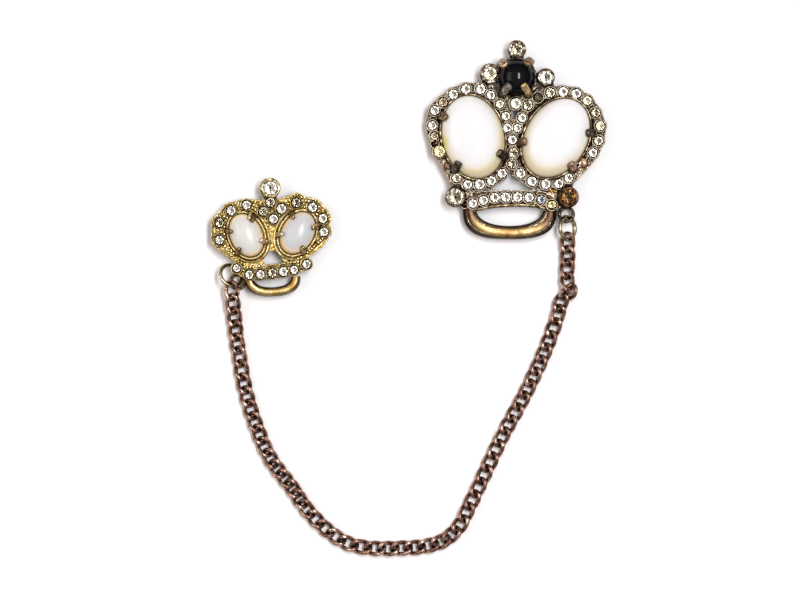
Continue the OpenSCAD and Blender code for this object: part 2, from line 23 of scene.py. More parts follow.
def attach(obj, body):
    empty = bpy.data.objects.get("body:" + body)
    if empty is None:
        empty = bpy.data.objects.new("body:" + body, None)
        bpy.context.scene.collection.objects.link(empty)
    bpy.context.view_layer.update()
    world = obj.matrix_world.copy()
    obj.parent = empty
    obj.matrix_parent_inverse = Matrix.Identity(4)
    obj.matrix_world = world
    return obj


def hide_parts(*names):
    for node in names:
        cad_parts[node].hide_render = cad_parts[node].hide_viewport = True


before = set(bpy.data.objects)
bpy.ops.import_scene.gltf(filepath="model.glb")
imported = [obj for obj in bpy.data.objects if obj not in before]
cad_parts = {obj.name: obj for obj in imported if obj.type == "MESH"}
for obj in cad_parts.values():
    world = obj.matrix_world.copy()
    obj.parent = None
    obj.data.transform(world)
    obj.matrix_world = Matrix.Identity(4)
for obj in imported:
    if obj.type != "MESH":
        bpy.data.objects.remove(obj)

MM = 0.001
scene = bpy.context.scene
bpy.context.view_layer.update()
random.seed(7)
print("solids:", len(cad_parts))

# %% [markdown]
# ## Building blocks
#
# Jewellery is turned, drawn or cast, so nearly every part is a closed ring of small
# sections: a bezel is a section carried round an oval, a wire is a circle carried along a
# line. One function that joins rings of points into a skin makes them all. The other way is
# a stack of modifiers on primitives, which gives less say over where each point lies.

# %% Rings of points and their skin
def around(steps):
    """Angles of a full turn."""
    return [2 * pi * k / steps for k in range(steps)]


def turned(x, y, angle):
    """x and y, numbers or arrays, turned about the middle by an angle in degrees."""
    c = cos(radians(angle))
    s = sin(radians(angle))
    return x * c - y * s, x * s + y * c


def skin(rings, closed=True):
    """A body, as points and faces: quads between rings of points that match. An open skin
    gets a face at each end."""
    sides = len(rings[0])
    faces = []
    for i in range(len(rings) if closed else len(rings) - 1):
        low = i * sides
        high = (i + 1) % len(rings) * sides
        for j in range(sides):
            k = (j + 1) % sides
            faces.append((low + j, low + k, high + k, high + j))
    if not closed:
        last = (len(rings) - 1) * sides
        faces.append(tuple(range(sides)))
        faces.append(tuple(range(last, last + sides)))
    return np.concatenate([np.asarray(ring, float) for ring in rings]), faces

# %% Shapes and pieces
class Shape:
    """Bodies gathered for one piece. Their places count from the middle of a crown."""

    def __init__(self, crown=(0, 0, 0)):
        self.crown = crown
        self.points = []
        self.faces = []
        self.marks = []
        self.count = 0

    def add(self, body, mark=0):
        """mark: the number of a material, or a list of numbers that repeats over the faces."""
        points, faces = body
        marks = mark if isinstance(mark, list) else [mark]
        self.points.append(points + self.crown)
        self.faces += [tuple(self.count + i for i in face) for face in faces]
        self.marks += marks * (len(faces) // len(marks))
        self.count += len(points)
        return self


def piece(name, shape, finishes, sharp=35, stands_for=(), at=(0, 0, 0), turn=0):
    """Turns a shape into an object that rides with the brooch."""
    mesh = bpy.data.meshes.new(name)
    mesh.from_pydata((np.concatenate(shape.points) * MM).tolist(), [], shape.faces)
    for finish in finishes:
        mesh.materials.append(finish)
    mesh.polygons.foreach_set("material_index", shape.marks)
    build = bmesh.new()
    build.from_mesh(mesh)
    bmesh.ops.remove_doubles(build, verts=build.verts, dist=0.0004 * MM)
    bmesh.ops.recalc_face_normals(build, faces=build.faces)
    build.to_mesh(mesh)
    build.free()
    mesh.shade_smooth()
    mesh.set_sharp_from_angle(angle=radians(sharp))
    made = bpy.data.objects.new(name, mesh)
    made.location = [v * MM for v in at]
    made.rotation_euler = (0, 0, radians(turn))
    scene.collection.objects.link(made)
    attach(made, "root")
    if stands_for:
        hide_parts(*stands_for)
    print(name, len(mesh.polygons), "faces")


# %% [markdown]
# ## Materials, one node at a time
#
# Colours are picked as sRGB hex values and turned to the linear values that shaders use.
# One function adds any node: its inputs are plain values or the outputs of other nodes, and
# a colour ramp also takes its stops.

# %% Colours and nodes
def tint(colour):
    """An sRGB hex colour as linear red, green, blue and alpha."""
    parts = [int(colour[i:i + 2], 16) / 255 for i in (1, 3, 5)]
    return tuple(c / 12.92 if c <= 0.04045 else ((c + 0.055) / 1.055) ** 2.4 for c in parts) + (1.0,)


def add(tree, kind, inputs=None, stops=None, **settings):
    """Adds a node, sets it up, and links the inputs that are other nodes' outputs."""
    made = tree.nodes.new("ShaderNode" + kind)
    for name, value in settings.items():
        setattr(made, name, value)
    for name, value in (inputs or {}).items():
        if isinstance(value, bpy.types.NodeSocket):
            tree.links.new(value, made.inputs[name])
        else:
            made.inputs[name].default_value = tint(value) if isinstance(value, str) else value
    if stops:
        ramp = made.color_ramp
        while len(ramp.elements) < len(stops):
            ramp.elements.new(0.5)
        for element, (at, colour) in zip(ramp.elements, stops):
            element.position = at
            element.color = tint(colour)
    return made


def new_tree(name, looks=bpy.data.materials):
    """A material, or a world, and its node tree, still empty."""
    made = looks.new(name)
    made.use_nodes = True
    made.node_tree.nodes.clear()
    return made, made.node_tree


# Sockets of a colour Mix node, which has one set of sockets for each kind of value
MIX_A, MIX_B, MIX_OUT = 6, 7, 2

# %% [markdown]
# ## Aged metal
#
# Both crowns are cast in a soft white-metal alloy and plated. The plating on the large one
# has worn and turned rose-brown, the small one has kept its gilding, and the chain is
# copper-brown brass wire. All of them are bright where cloth and fingers rub, dull in
# patches a millimetre or so wide, and dark with old polish and skin oil in the crevices.
# Ambient occlusion finds the crevices, so the dirt follows the shape and not a picture.

# %% Aged metal
def aged_metal(name, dull, body, bright, dirt, rough=(0.3, 0.5), patch=0.9, crevice=(0.5, 0.95),
               high=None, depth=0.5, edge=None):
    """Cast or drawn metal: satin and bright where rubbed, duller in patches, black in crevices.
    rough: smoothest and roughest. high: darker towards the back up to the first height, rubbed from the
    second.
    edge: the width of the rounding that makes a solid's sharp edges catch the light."""
    made, tree = new_tree(name)
    place = add(tree, "TexCoord").outputs["Object"]
    patches = add(tree, "TexNoise", {"Vector": place, "Scale": 1 / (patch * MM), "Detail": 5.0,
                                     "Roughness": 0.62}).outputs["Fac"]
    # Casting grain and scratches are near 0.05 mm; 0.15 mm is as fine as a picture shows
    grain = add(tree, "TexNoise", {"Vector": place, "Scale": 1 / (0.15 * MM), "Detail": 3.0}).outputs["Fac"]
    metal = add(tree, "ValToRGB", {"Fac": patches},
                stops=[(0.36, dull), (0.5, body), (0.64, bright)]).outputs[0]
    if high:
        height = add(tree, "SeparateXYZ", {0: place}).outputs[2]
        low, top = high[0] * MM, high[1] * MM
        # Darker towards the back, below the middle of the two heights
        sunk = add(tree, "MapRange", {"Value": height, "From Min": low, "From Max": (low + top) / 2,
                                      "To Min": 0.75, "To Max": 0.0}).outputs[0]
        rubbed = add(tree, "MapRange", {"Value": height, "From Min": (low + top) / 2, "From Max": top,
                                        "To Min": 0.0, "To Max": 0.6}).outputs[0]
        metal = add(tree, "Mix", {0: sunk, MIX_A: metal, MIX_B: dirt}, data_type="RGBA").outputs[MIX_OUT]
        metal = add(tree, "Mix", {0: rubbed, MIX_A: metal, MIX_B: bright}, data_type="RGBA").outputs[MIX_OUT]
    open_sky = add(tree, "AmbientOcclusion", {"Distance": depth * MM}, samples=8).outputs["AO"]
    dirty = add(tree, "MapRange", {"Value": open_sky, "From Min": crevice[0], "From Max": crevice[1],
                                   "To Min": 1.0, "To Max": 0.0}).outputs[0]
    colour = add(tree, "Mix", {0: dirty, MIX_A: metal, MIX_B: dirt}, data_type="RGBA").outputs[MIX_OUT]
    bump = add(tree, "Bump", {"Height": grain, "Strength": 0.4, "Distance": 0.05 * MM})
    if edge:
        rounded = add(tree, "Bevel", {"Radius": edge * MM}, samples=4).outputs[0]
        tree.links.new(rounded, bump.inputs["Normal"])
        true = add(tree, "NewGeometry").outputs["True Normal"]
        same = add(tree, "VectorMath", {0: rounded, 1: true}, operation="DOT_PRODUCT").outputs["Value"]
        worn = add(tree, "MapRange", {"Value": same, "From Min": 0.8, "From Max": 0.98,
                                      "To Min": 0.6, "To Max": 0.0}).outputs[0]
        colour = add(tree, "Mix", {0: worn, MIX_A: colour, MIX_B: bright}, data_type="RGBA").outputs[MIX_OUT]
    smooth = add(tree, "MapRange", {"Value": patches, "From Min": 0.35, "From Max": 0.65,
                                    "To Min": rough[1], "To Max": rough[0]}).outputs[0]
    roughness = add(tree, "Math", {0: dirty, 1: 0.3, 2: smooth}, operation="MULTIPLY_ADD").outputs[0]
    shader = add(tree, "BsdfPrincipled", {"Base Color": colour, "Metallic": 1.0,
                                          "Roughness": roughness, "Normal": bump.outputs[0]})
    add(tree, "OutputMaterial", {"Surface": shader.outputs[0]})
    return made

# %% The metals of the castings, the chain, the claws and the pin backs
rose_plate = aged_metal("worn_plating_on_cast_white_metal", "#3A2C1E", "#7E6C56", "#F0E0C6", "#120A04",
                        high=(3.5, 4.25), patch=0.45, crevice=(0.55, 0.98), depth=0.75, edge=0.12)
rose_beads = aged_metal("rubbed_plating_on_beads", "#7E705C", "#B4A894", "#EADFCD", "#201408", depth=0.3)
bezel_brown = aged_metal("tarnished_oval_bezel", "#2A1E10", "#6A573E", "#C8B490", "#0C0602", patch=1.1)
cup_metal = aged_metal("tarnished_ball_cup", "#1E150E", "#4E4236", "#B4AA9C", "#0A0603",
                       patch=0.7, depth=0.7)
gilt = aged_metal("gilding_on_cast_white_metal", "#64491C", "#B6984E", "#FAEAB2", "#1C1204",
                  high=(3.0, 4.4), patch=0.45, crevice=(0.55, 0.98), depth=0.7, edge=0.12)
gilt_rim = aged_metal("gilding_darkened_on_rims", "#3A2C12", "#80734E", "#D2C69E", "#180E04",
                      patch=0.6, depth=0.6)
# Near black: browned gilding, and painted shade inside each seat of the small crown
gilt_brown_and_seat_shade = aged_metal("browned_gilding_and_painted_seat_shade", "#140C04", "#2C200E", "#7E6C46", "#0C0802",
                        rough=(0.45, 0.6), patch=0.5, depth=0.4)
gilt_beads = aged_metal("rubbed_gilding_on_beads", "#967A32", "#D8BF7C", "#FFF4C8", "#281A06",
                        rough=(0.2, 0.36), depth=0.3)
gilt_grooves = aged_metal("brown_gilding_in_grooves", "#2E1C06", "#4E3410", "#80602A", "#160C02",
                          rough=(0.4, 0.6))
brown_cup_metal = aged_metal("brown_ball_cup", "#140C06", "#2C1E14", "#4E3A2A", "#0A0603",
                             patch=0.7, depth=0.7)
chain_wire = aged_metal("copper_brown_brass_wire", "#6A483C", "#9A7666", "#E2C6B6", "#180A06",
                        rough=(0.22, 0.36), patch=1.6, depth=0.6)
ring_wire = aged_metal("yellow_brass_ring_wire", "#6E6048", "#9C8C6C", "#D8CCAC", "#1A120A",
                       rough=(0.2, 0.34))
pale_ring_wire = aged_metal("silvery_brass_ring_wire", "#827850", "#B8AC88", "#F0EAD0", "#1A120A",
                            rough=(0.16, 0.28))
pin_brass = aged_metal("drawn_and_pressed_brass", "#8A6C34", "#B0904C", "#D4B878", "#2A1C0C", patch=3.0)
claw_brown = aged_metal("bronze_brown_claw", "#3E3022", "#7E664C", "#B09A7C", "#120A06",
                        rough=(0.4, 0.55), patch=0.6)
claw_dark = aged_metal("blackened_claw", "#221A14", "#50443A", "#928474", "#0C0806",
                       rough=(0.4, 0.55), patch=0.6)
claw_rose = aged_metal("rose_claw", "#5E4434", "#977A62", "#D8C0A8", "#1E120A", patch=0.5)
claw_gold = aged_metal("tan_gold_claw", "#A88654", "#D8B680", "#F8E4BE", "#2A1A0A", patch=0.5)
claw_grey = aged_metal("grey_claw", "#4A4640", "#8A857C", "#E6E2DA", "#120E0C", patch=0.5)
claw_gilt = aged_metal("pale_gilt_claw", "#C8A48C", "#EED8C8", "#FFF4EC", "#3A2416", patch=0.5)
claw_bronze = aged_metal("bronze_gold_claw", "#3E2A12", "#7C6036", "#D0B07A", "#180E04", patch=0.5)
grain_metal = aged_metal("bare_white_metal_grains", "#6A665E", "#B8B4AA", "#F6F4EE", "#14100C", depth=0.3)
# On the large rims' slopes into the seats this is painted shade as well as tarnish
tarnish = aged_metal("black_tarnish_in_grooves", "#160E08", "#261B12", "#443424", "#080403",
                     rough=(0.5, 0.6))

# %% Brass bars with brown ends
def banded_brass(name, ends, middle, bright, dirt, edge=0.24):
    """A cast bar whose middle is rubbed to bright brass and whose ends have stayed brown. Its lower sides
    are painted dark as shade.
    """
    made, tree = new_tree(name)
    coords = add(tree, "TexCoord")
    patches = add(tree, "TexNoise", {"Vector": coords.outputs["Object"], "Scale": 1 / (1.6 * MM),
                                     "Detail": 5.0, "Roughness": 0.65}).outputs["Fac"]
    across = add(tree, "SeparateXYZ", {0: coords.outputs["Generated"]}).outputs[0]
    from_middle = add(tree, "Math", {0: across, 1: 0.5}, operation="SUBTRACT").outputs[0]
    outward = add(tree, "Math", {0: from_middle}, operation="ABSOLUTE").outputs[0]
    uneven = add(tree, "Math", {0: patches, 1: 0.3, 2: outward}, operation="MULTIPLY_ADD").outputs[0]
    browned = add(tree, "MapRange", {"Value": uneven, "From Min": 0.5 - edge + 0.1,
                                     "From Max": 0.5 - edge + 0.32}).outputs[0]
    brass = add(tree, "ValToRGB", {"Fac": patches}, stops=[(0.4, middle), (0.6, bright)]).outputs[0]
    metal = add(tree, "Mix", {0: browned, MIX_A: brass, MIX_B: ends}, data_type="RGBA").outputs[MIX_OUT]
    height = add(tree, "SeparateXYZ", {0: coords.outputs["Object"]}).outputs[2]
    # Painted shade: from 3.8 mm down, the bar's sides turn to the dark crevice colour
    painted_shade_low = add(tree, "MapRange", {"Value": height, "From Min": 3.35 * MM, "From Max": 3.8 * MM,
                                   "To Min": 0.95, "To Max": 0.0}).outputs[0]
    metal = add(tree, "Mix", {0: painted_shade_low, MIX_A: metal, MIX_B: dirt}, data_type="RGBA").outputs[MIX_OUT]
    open_sky = add(tree, "AmbientOcclusion", {"Distance": 0.9 * MM}, samples=8).outputs["AO"]
    dirty = add(tree, "MapRange", {"Value": open_sky, "From Min": 0.4, "From Max": 0.85,
                                   "To Min": 1.0, "To Max": 0.0}).outputs[0]
    colour = add(tree, "Mix", {0: dirty, MIX_A: metal, MIX_B: dirt}, data_type="RGBA").outputs[MIX_OUT]
    roughness = add(tree, "MapRange", {"Value": patches, "From Min": 0.35, "From Max": 0.65,
                                       "To Min": 0.4, "To Max": 0.27}).outputs[0]
    bump = add(tree, "Bump", {"Height": patches, "Strength": 0.25, "Distance": 0.15 * MM}).outputs[0]
    shader = add(tree, "BsdfPrincipled", {"Base Color": colour, "Metallic": 1.0,
                                          "Roughness": roughness, "Normal": bump})
    add(tree, "OutputMaterial", {"Surface": shader.outputs[0]})
    return made


# The last colour is the crevice dirt, and it is also painted on the bars' lower sides as shade
large_bar = banded_brass("rubbed_brass_bar_with_brown_ends", "#3E2C22", "#8C6E44", "#C8AC78", "#100804")
small_bar = banded_brass("rubbed_gilt_bar", "#6E4C20", "#A08042", "#E6CE90", "#1A0E02", edge=0.12)
print("metals:", len(bpy.data.materials))

# %% [markdown]
# ## Glass
#
# The small stones are pressed glass chatons with a silver foil behind them. The foil throws
# the light back through the facets, which is what makes them white and sparkling, and where
# it has aged the stone looks yellow, grey or brown. So each stone is one closed body whose
# upper facets are clear glass and whose lower facets are foil, and the foil alone changes
# from stone to stone. A flat white paint would be simpler, but would not sparkle.

# %% Glass and foil
def clear_glass(name, colour):
    """Soda-lime glass, IOR 1.52, polished: it glints sharply and lets the foil show."""
    made, tree = new_tree(name)
    shader = add(tree, "BsdfPrincipled", {"Base Color": colour, "Roughness": 0.03, "IOR": 1.52,
                                          "Transmission Weight": 1.0})
    add(tree, "OutputMaterial", {"Surface": shader.outputs[0]})
    return made


def foil(name, colour, spots, amount=0.5, rough=0.19, metallic=1.0):
    """Mirror foil with spots where it has corroded; the spots are near 0.4 mm."""
    made, tree = new_tree(name)
    place = add(tree, "TexCoord").outputs["Object"]
    specks = add(tree, "TexNoise", {"Vector": place, "Scale": 1 / (0.4 * MM), "Detail": 3.0}).outputs["Fac"]
    spotted = add(tree, "MapRange", {"Value": specks, "From Min": 1 - amount,
                                     "From Max": 1.12 - amount}).outputs[0]
    mixed = add(tree, "Mix", {0: spotted, MIX_A: colour, MIX_B: spots}, data_type="RGBA").outputs[MIX_OUT]
    shader = add(tree, "BsdfPrincipled", {"Base Color": mixed, "Metallic": metallic, "Roughness": rough})
    add(tree, "OutputMaterial", {"Surface": shader.outputs[0]})
    return made

# %% The glasses and foils of the cut stones
stone_glass = clear_glass("pressed_chaton_glass", "#FCFCF8")
yellow_glass = clear_glass("yellowed_chaton_glass", "#FBF6D0")
amber_clear = clear_glass("amber_glass", "#EBD6B2")
silver_foil = foil("silver_foil", "#F4F2EE", "#A29E8E", amount=0.43)
aged_foil = foil("greyed_silver_foil", "#E2DED2", "#7A7060")
yellow_foil = foil("yellowed_foil", "#F2EEDF", "#B0A68E", amount=0.42, rough=0.24)
lost_foil = foil("bared_cement", "#9C9482", "#4E4638", amount=0.55, rough=0.4, metallic=0.5)
blue_foil = foil("blued_foil", "#DDE2E8", "#747A84")
rust_foil = foil("rusted_foil_with_gold_flecks", "#7E6A50", "#F4E4BC", amount=0.46, rough=0.25)
beige_foil = foil("beige_foil", "#D8D0C2", "#9C8C78", rough=0.25)

# %% Opal and moonstone glass
def cabochon_glass(name, heart, shoulder, rim, edge, shaded_side, scatter, rough=0.14, rim_at=0.91, stain=None):
    """Opal glass: milky in the middle, and thin and warm towards its edge. On the side away from the lamp
    the warm edge is painted wider, as painted shade.
    """
    made, tree = new_tree(name)
    place = add(tree, "TexCoord").outputs["Generated"]
    middle = add(tree, "VectorMath", {0: place, 1: (0.5, 0.5, 0.0)}, operation="SUBTRACT").outputs[0]
    flat = add(tree, "VectorMath", {0: middle, 1: (2.0, 2.0, 0.0)}, operation="MULTIPLY").outputs[0]
    radius = add(tree, "VectorMath", {0: flat}, operation="LENGTH").outputs["Value"]
    # Painted shade: the warm edge reaches further in on the side away from the lamp
    lower = add(tree, "VectorMath", {0: flat, 1: shaded_side}, operation="DOT_PRODUCT").outputs["Value"]
    # The clouds are near a third of a stone wide, 4 mm in the large ovals
    cloud = add(tree, "TexNoise", {"Vector": place, "Scale": 3.2, "Detail": 3.0}).outputs["Fac"]
    uneven = add(tree, "MapRange", {"Value": cloud, "To Min": -0.05, "To Max": 0.05}).outputs[0]
    summed = add(tree, "Math", {0: radius, 1: lower}, operation="ADD").outputs[0]
    outward = add(tree, "Math", {0: summed, 1: uneven}, operation="ADD").outputs[0]
    colour = add(tree, "ValToRGB", {"Fac": outward},
                 stops=[(0.66, heart), (0.82, shoulder), (rim_at, rim), (0.99, edge)]).outputs[0]
    if stain:
        spot, size, stain_colour = stain
        away = add(tree, "VectorMath", {0: flat, 1: spot}, operation="SUBTRACT").outputs[0]
        squeezed = add(tree, "VectorMath", {0: away, 1: size}, operation="DIVIDE").outputs[0]
        reach = add(tree, "VectorMath", {0: squeezed}, operation="LENGTH").outputs["Value"]
        ragged = add(tree, "Math", {0: cloud, 1: 0.9, 2: reach}, operation="MULTIPLY_ADD").outputs[0]
        stained = add(tree, "MapRange", {"Value": ragged, "From Min": 0.8, "From Max": 1.5,
                                         "To Min": 0.8, "To Max": 0.0}).outputs[0]
        colour = add(tree, "Mix", {0: stained, MIX_A: colour, MIX_B: stain_colour},
                     data_type="RGBA").outputs[MIX_OUT]
    shader = add(tree, "BsdfPrincipled", {"Base Color": colour, "Roughness": rough, "IOR": 1.5,
                                          "Subsurface Weight": scatter, "Subsurface Scale": 1.2 * MM})
    add(tree, "OutputMaterial", {"Surface": shader.outputs[0]})
    return made


# The tuple after the colours is the side away from the lamp, where the warm edge is painted wider as shade
opal_left = cabochon_glass("opal_glass_stained", "#E7E8EA", "#E6E5E0", "#E4DEC8", "#DACEAA",
                           (0.05, -0.17, 0.0), 0.3, stain=((-0.93, 0.06, 0.0), (0.14, 0.26, 1.0), "#DCD25A"))
opal_right = cabochon_glass("opal_glass", "#E9EAEC", "#E7E6E2", "#E5DECC", "#DCD1B4",
                            (0.04, -0.17, 0.0), 0.3)
moon_left = cabochon_glass("moonstone_glass_left", "#D4D6D1", "#D8D5CD", "#EEDCC2", "#EACCA0",
                           (0.02, -0.03, 0.0), 0.5, rough=0.3, rim_at=0.88)
moon_right = cabochon_glass("moonstone_glass_right", "#C5C8CB", "#CFCCC6", "#ECD9C0", "#EACCA0",
                            (-0.06, -0.08, 0.0), 0.5, rough=0.3, rim_at=0.88)

# %% Black glass
def black_glass():
    """Pressed black glass is so dark that only its gloss shows; a trace of blue is left in it."""
    made, tree = new_tree("pressed_black_glass")
    place = add(tree, "TexCoord").outputs["Object"]
    cloud = add(tree, "TexNoise", {"Vector": place, "Scale": 1 / (2.5 * MM), "Detail": 2.0}).outputs["Fac"]
    colour = add(tree, "ValToRGB", {"Fac": cloud}, stops=[(0.35, "#040407"), (0.7, "#090B12")]).outputs[0]
    # The steep edge shows no gloss
    steep = add(tree, "LayerWeight", {"Blend": 0.5}).outputs["Facing"]
    gloss = add(tree, "MapRange", {"Value": steep, "From Min": 0.3, "From Max": 0.75,
                                   "To Min": 0.18, "To Max": 0.02}).outputs[0]
    shader = add(tree, "BsdfPrincipled", {"Base Color": colour, "Roughness": 0.05, "IOR": 1.52,
                                          "Specular IOR Level": gloss})
    add(tree, "OutputMaterial", {"Surface": shader.outputs[0]})
    return made


black = black_glass()
print("materials:", len(bpy.data.materials))

# %% [markdown]
# ## The places of the stones
#
# These are the same places as in the solids' source, in millimetres from each crown's
# middle: x, y and the stone's diameter. Heights count from the casting's back. Stones, rims
# and claws all take their places from here, so they stay together.

# %% Places
LARGE = (22.8, 34.1, 2.4)
SMALL = (-30.1, 13.5, 2.4)

large_left_row = [
    (-3.3, 7.7, 1.8), (-5.2, 9.6, 1.9), (-7.4, 10.9, 2.1), (-10.6, 10.9, 2.1), (-13.3, 9.8, 2.1),
    (-15.5, 8.1, 2.0), (-17.3, 6.3, 2.0), (-17.8, 3.1, 1.9), (-17.3, 0.8, 1.8), (-12.6, -8.2, 2.0),
    (-10.2, -9.6, 1.9), (-7.6, -9.6, 2.2), (-5.1, -8.8, 2.0), (-2.8, -7.2, 2.0)]
large_right_row = [
    (4.9, 9.1, 1.9), (7.6, 10.1, 2.1), (10.3, 10.3, 2.1), (13.1, 9.9, 2.1), (15.5, 8.4, 2.0),
    (17.3, 5.8, 2.0), (18.3, 3.0, 2.0), (17.9, -0.2, 2.0), (16.7, -2.8, 1.9), (11.5, -8.2, 1.9),
    (9.4, -9.4, 2.0), (6.6, -9.5, 2.1), (3.6, -8.9, 2.1), (1.2, -7.2, 2.1)]
large_middle = [
    (0.1, 7.8, 2.3), (2.7, 7.4, 2.1), (-2.0, 5.1, 1.9), (1.5, 4.7, 1.9), (-1.7, 2.6, 1.9),
    (0.5, 2.5, 1.8), (-0.6, 0.0, 2.0), (-0.4, -2.8, 2.1), (-0.6, -5.2, 1.9)]
large_band = [
    (-9.1, -13.7, 1.9), (-6.8, -13.0, 2.0), (-4.4, -12.4, 2.0), (-2.0, -12.3, 2.1), (0.5, -12.3, 2.1),
    (3.0, -12.4, 2.0), (5.6, -12.9, 1.9), (7.9, -14.0, 1.9)]
yellow_stone = (-16.3, -2.5, 2.4)
# Two seats have lost their stones, and two never held one
lost_seats = [(-17.2, -0.9, 1.4), (-10.8, -13.9, 1.2)]
filled_seats = [(-14.5, -5.6, 1.5), (14.7, -5.0, 1.9)]

# %% Places of the balls and the ovals
# Ball settings: x, y, the stone's diameter and the cup's diameter
crest_ball = (0.4, 19.4, 2.6, 3.9)
left_shoulder = (-5.4, 14.2, 3.0, 4.3)
right_shoulder = (6.6, 13.4, 2.9, 3.8)
left_band_ball = (-12.8, -12.3, 3.5, 4.3)
right_band_ball = (11.4, -12.3, 3.4, 4.5)
small_crest = (0.3, 10.25, 2.9, 4.3)

# Ovals: x, y, turn, and half of the width and of the length. The black stone is round
large_ovals = [(-9.0, 0.6, 14, 6.6, 9.0), (8.8, 0.4, -30, 6.6, 9.0)]
small_ovals = [(-4.8, 0.1, 25, 3.45, 4.8), (6.2, 0.6, -30, 3.45, 4.8)]
BLACK_AT = (0.3, 13.4)
BLACK_RADIUS = 3.85

# %% Places in the small crown
small_left_row = [(-4.8, 6.6, 1.9), (-8.1, 5.4, 2.0), (-10.6, 2.8, 1.9), (-10.6, -0.9, 1.9)]
small_right_row = [(5.9, 7.1, 2.0), (9.4, 6.1, 2.0), (11.6, 3.7, 2.0), (11.8, 0.8, 1.9)]
small_middle = [(0.3, 7.2, 2.1), (-1.2, 5.2, 2.0), (2.7, 5.8, 2.1), (1.0, 3.6, 2.0)]
small_band = [(-4.2, -8.4, 1.9), (-1.8, -8.3, 1.9), (0.7, -8.0, 2.0), (3.1, -7.7, 2.0), (5.4, -7.3, 1.8)]
small_ends = [(-6.9, -7.0, 1.7), (8.1, -6.1, 1.9)]

large_stones = large_left_row + large_right_row + large_middle + large_band
small_stones = small_left_row + small_right_row + small_middle + small_band + small_ends
large_seats = large_stones + [yellow_stone, lost_seats[0], *filled_seats, lost_seats[1]]
print("small stones:", len(large_stones) + 1, "and", len(small_stones))

# %% [markdown]
# ## Keeping the ornament off the stones
#
# A setter files away whatever metal lies in a stone's way. `cleared` does the same with
# points: one that falls in a stone's seat, or inside an oval, is moved out to its edge.

# %% Clear the seats
SEAT_GAP = 0.05
TINY = 1e-6


def cleared(body, seats, ovals=()):
    """Moves a body's points sideways out of every seat and oval."""
    points = np.array(body[0], float)
    for x, y, d in seats:
        away = points[:, :2] - (x, y)
        far = np.maximum(np.hypot(away[:, 0], away[:, 1]), TINY)
        inside = far < d / 2 + SEAT_GAP
        points[inside, :2] = (x, y) + away[inside] * ((d / 2 + SEAT_GAP) / far[inside])[:, None]
    for x, y, turn, half_wid, half_len in ovals:
        u, v = turned(points[:, 0] - x, points[:, 1] - y, -turn)
        share = np.hypot(u / (half_wid + SEAT_GAP), v / (half_len + SEAT_GAP))
        inside = (share < 1) & (share > TINY)
        u, v = turned(u[inside] / share[inside], v[inside] / share[inside], turn)
        points[inside, 0] = x + u
        points[inside, 1] = y + v
    return points, body[1]


# %% [markdown]
# ## Stone settings
#
# Every small stone sits in a collet, a low rounded rim of metal. The rims stand so close
# that neighbours run into each other, which leaves the thin dark lines between them. Each
# rim is a closed section turned round the stone. An array of one ring would be shorter, but
# every seat has a size of its own, and a face takes its finish from its place in the section.

# %% Collets
RIM = [
    (0.45, 1.05), (0.43, 1.45), (0.36, 1.66), (0.29, 1.75), (0.21, 1.74), (0.12, 1.69), (0.02, 1.6),
    (-0.06, 1.52), (-0.05, 1.46), (0.06, 1.4), (0.06, 1.05)]
DARK_RIM = [
    (0.36, 1.05), (0.35, 1.62), (0.3, 1.72), (0.23, 1.75), (0.14, 1.71), (0.03, 1.6), (-0.07, 1.52),
    (-0.06, 1.46), (0.06, 1.4), (0.06, 1.05)]
# 0 is rubbed metal, 1 is near-black tarnish, which on the slopes down to each stone also stands for painted
# shade in the seat. Large rims are rubbed on top, small ones on the outside
RIM_MARKS = [1, 1, 0, 0, 1, 1, 1, 1, 1, 1, 1]
DARK_RIM_MARKS = [0, 0, 0, 1, 1, 1, 1, 1, 1, 1]
# The rims reach over the edges of the stones by this much
RIM_OVER = 0.12


def turned_ring(x, y, radius, profile, steps=28):
    """A section of (outwards, height) pairs turned round a place."""
    return skin([[(x + (radius + out) * cos(a), y + (radius + out) * sin(a), z) for out, z in profile]
                 for a in around(steps)])


def collets(name, seats, ovals, crown, profile, marks, finishes):
    shape = Shape(crown)
    open_parts = [(x, y, d - 2 * RIM_OVER) for x, y, d in seats]
    for x, y, d in seats:
        shape.add(cleared(turned_ring(x, y, d / 2, profile), open_parts, ovals), marks)
    piece(name, shape, finishes)


rimmed_seats = [seat for seat in large_seats if seat not in filled_seats]
# Each rim's inner slope takes the dark finish: tarnish, and painted shade inside the seat
collets("large_stone_collets", rimmed_seats, large_ovals, LARGE, RIM, RIM_MARKS, [rose_plate, tarnish])
collets("small_stone_collets", small_stones, small_ovals, SMALL, DARK_RIM, DARK_RIM_MARKS,
        [gilt_beads, gilt_brown_and_seat_shade])

# %% [markdown]
# ## Oval bezels
#
# A rounded wall stands round each oval. Each oval of the small crown has a second ridge
# outside it along its free side, and a dark groove beside the wall along a part of it. A
# curve with a bevel could draw them, but the inner and the outer faces differ in finish.

# %% Bezels and ridges
def on_oval(oval, out, t):
    """The place at an offset from an oval's edge, t degrees from its short axis."""
    x, y, turn, half_wid, half_len = oval
    u, v = turned((half_wid + out) * cos(radians(t)), (half_len + out) * sin(radians(t)), turn)
    return x + u, y + v


def oval_ring(oval, profile, start=0, stop=360, steps=64):
    """A section carried round an oval, or along a part of it."""
    whole = stop - start >= 360
    rings = []
    for k in range(steps):
        t = start + (stop - start) * k / (steps if whole else steps - 1)
        rings.append([on_oval(oval, out, t) + (z,) for out, z in profile])
    return skin(rings, closed=whole)


large_wall = [
    (0.61, 1.0), (0.65, 1.6), (0.63, 1.87), (0.54, 1.95), (0.4, 1.97), (0.26, 1.98), (0.12, 1.94),
    (0.06, 1.8), (0.05, 1.0)]
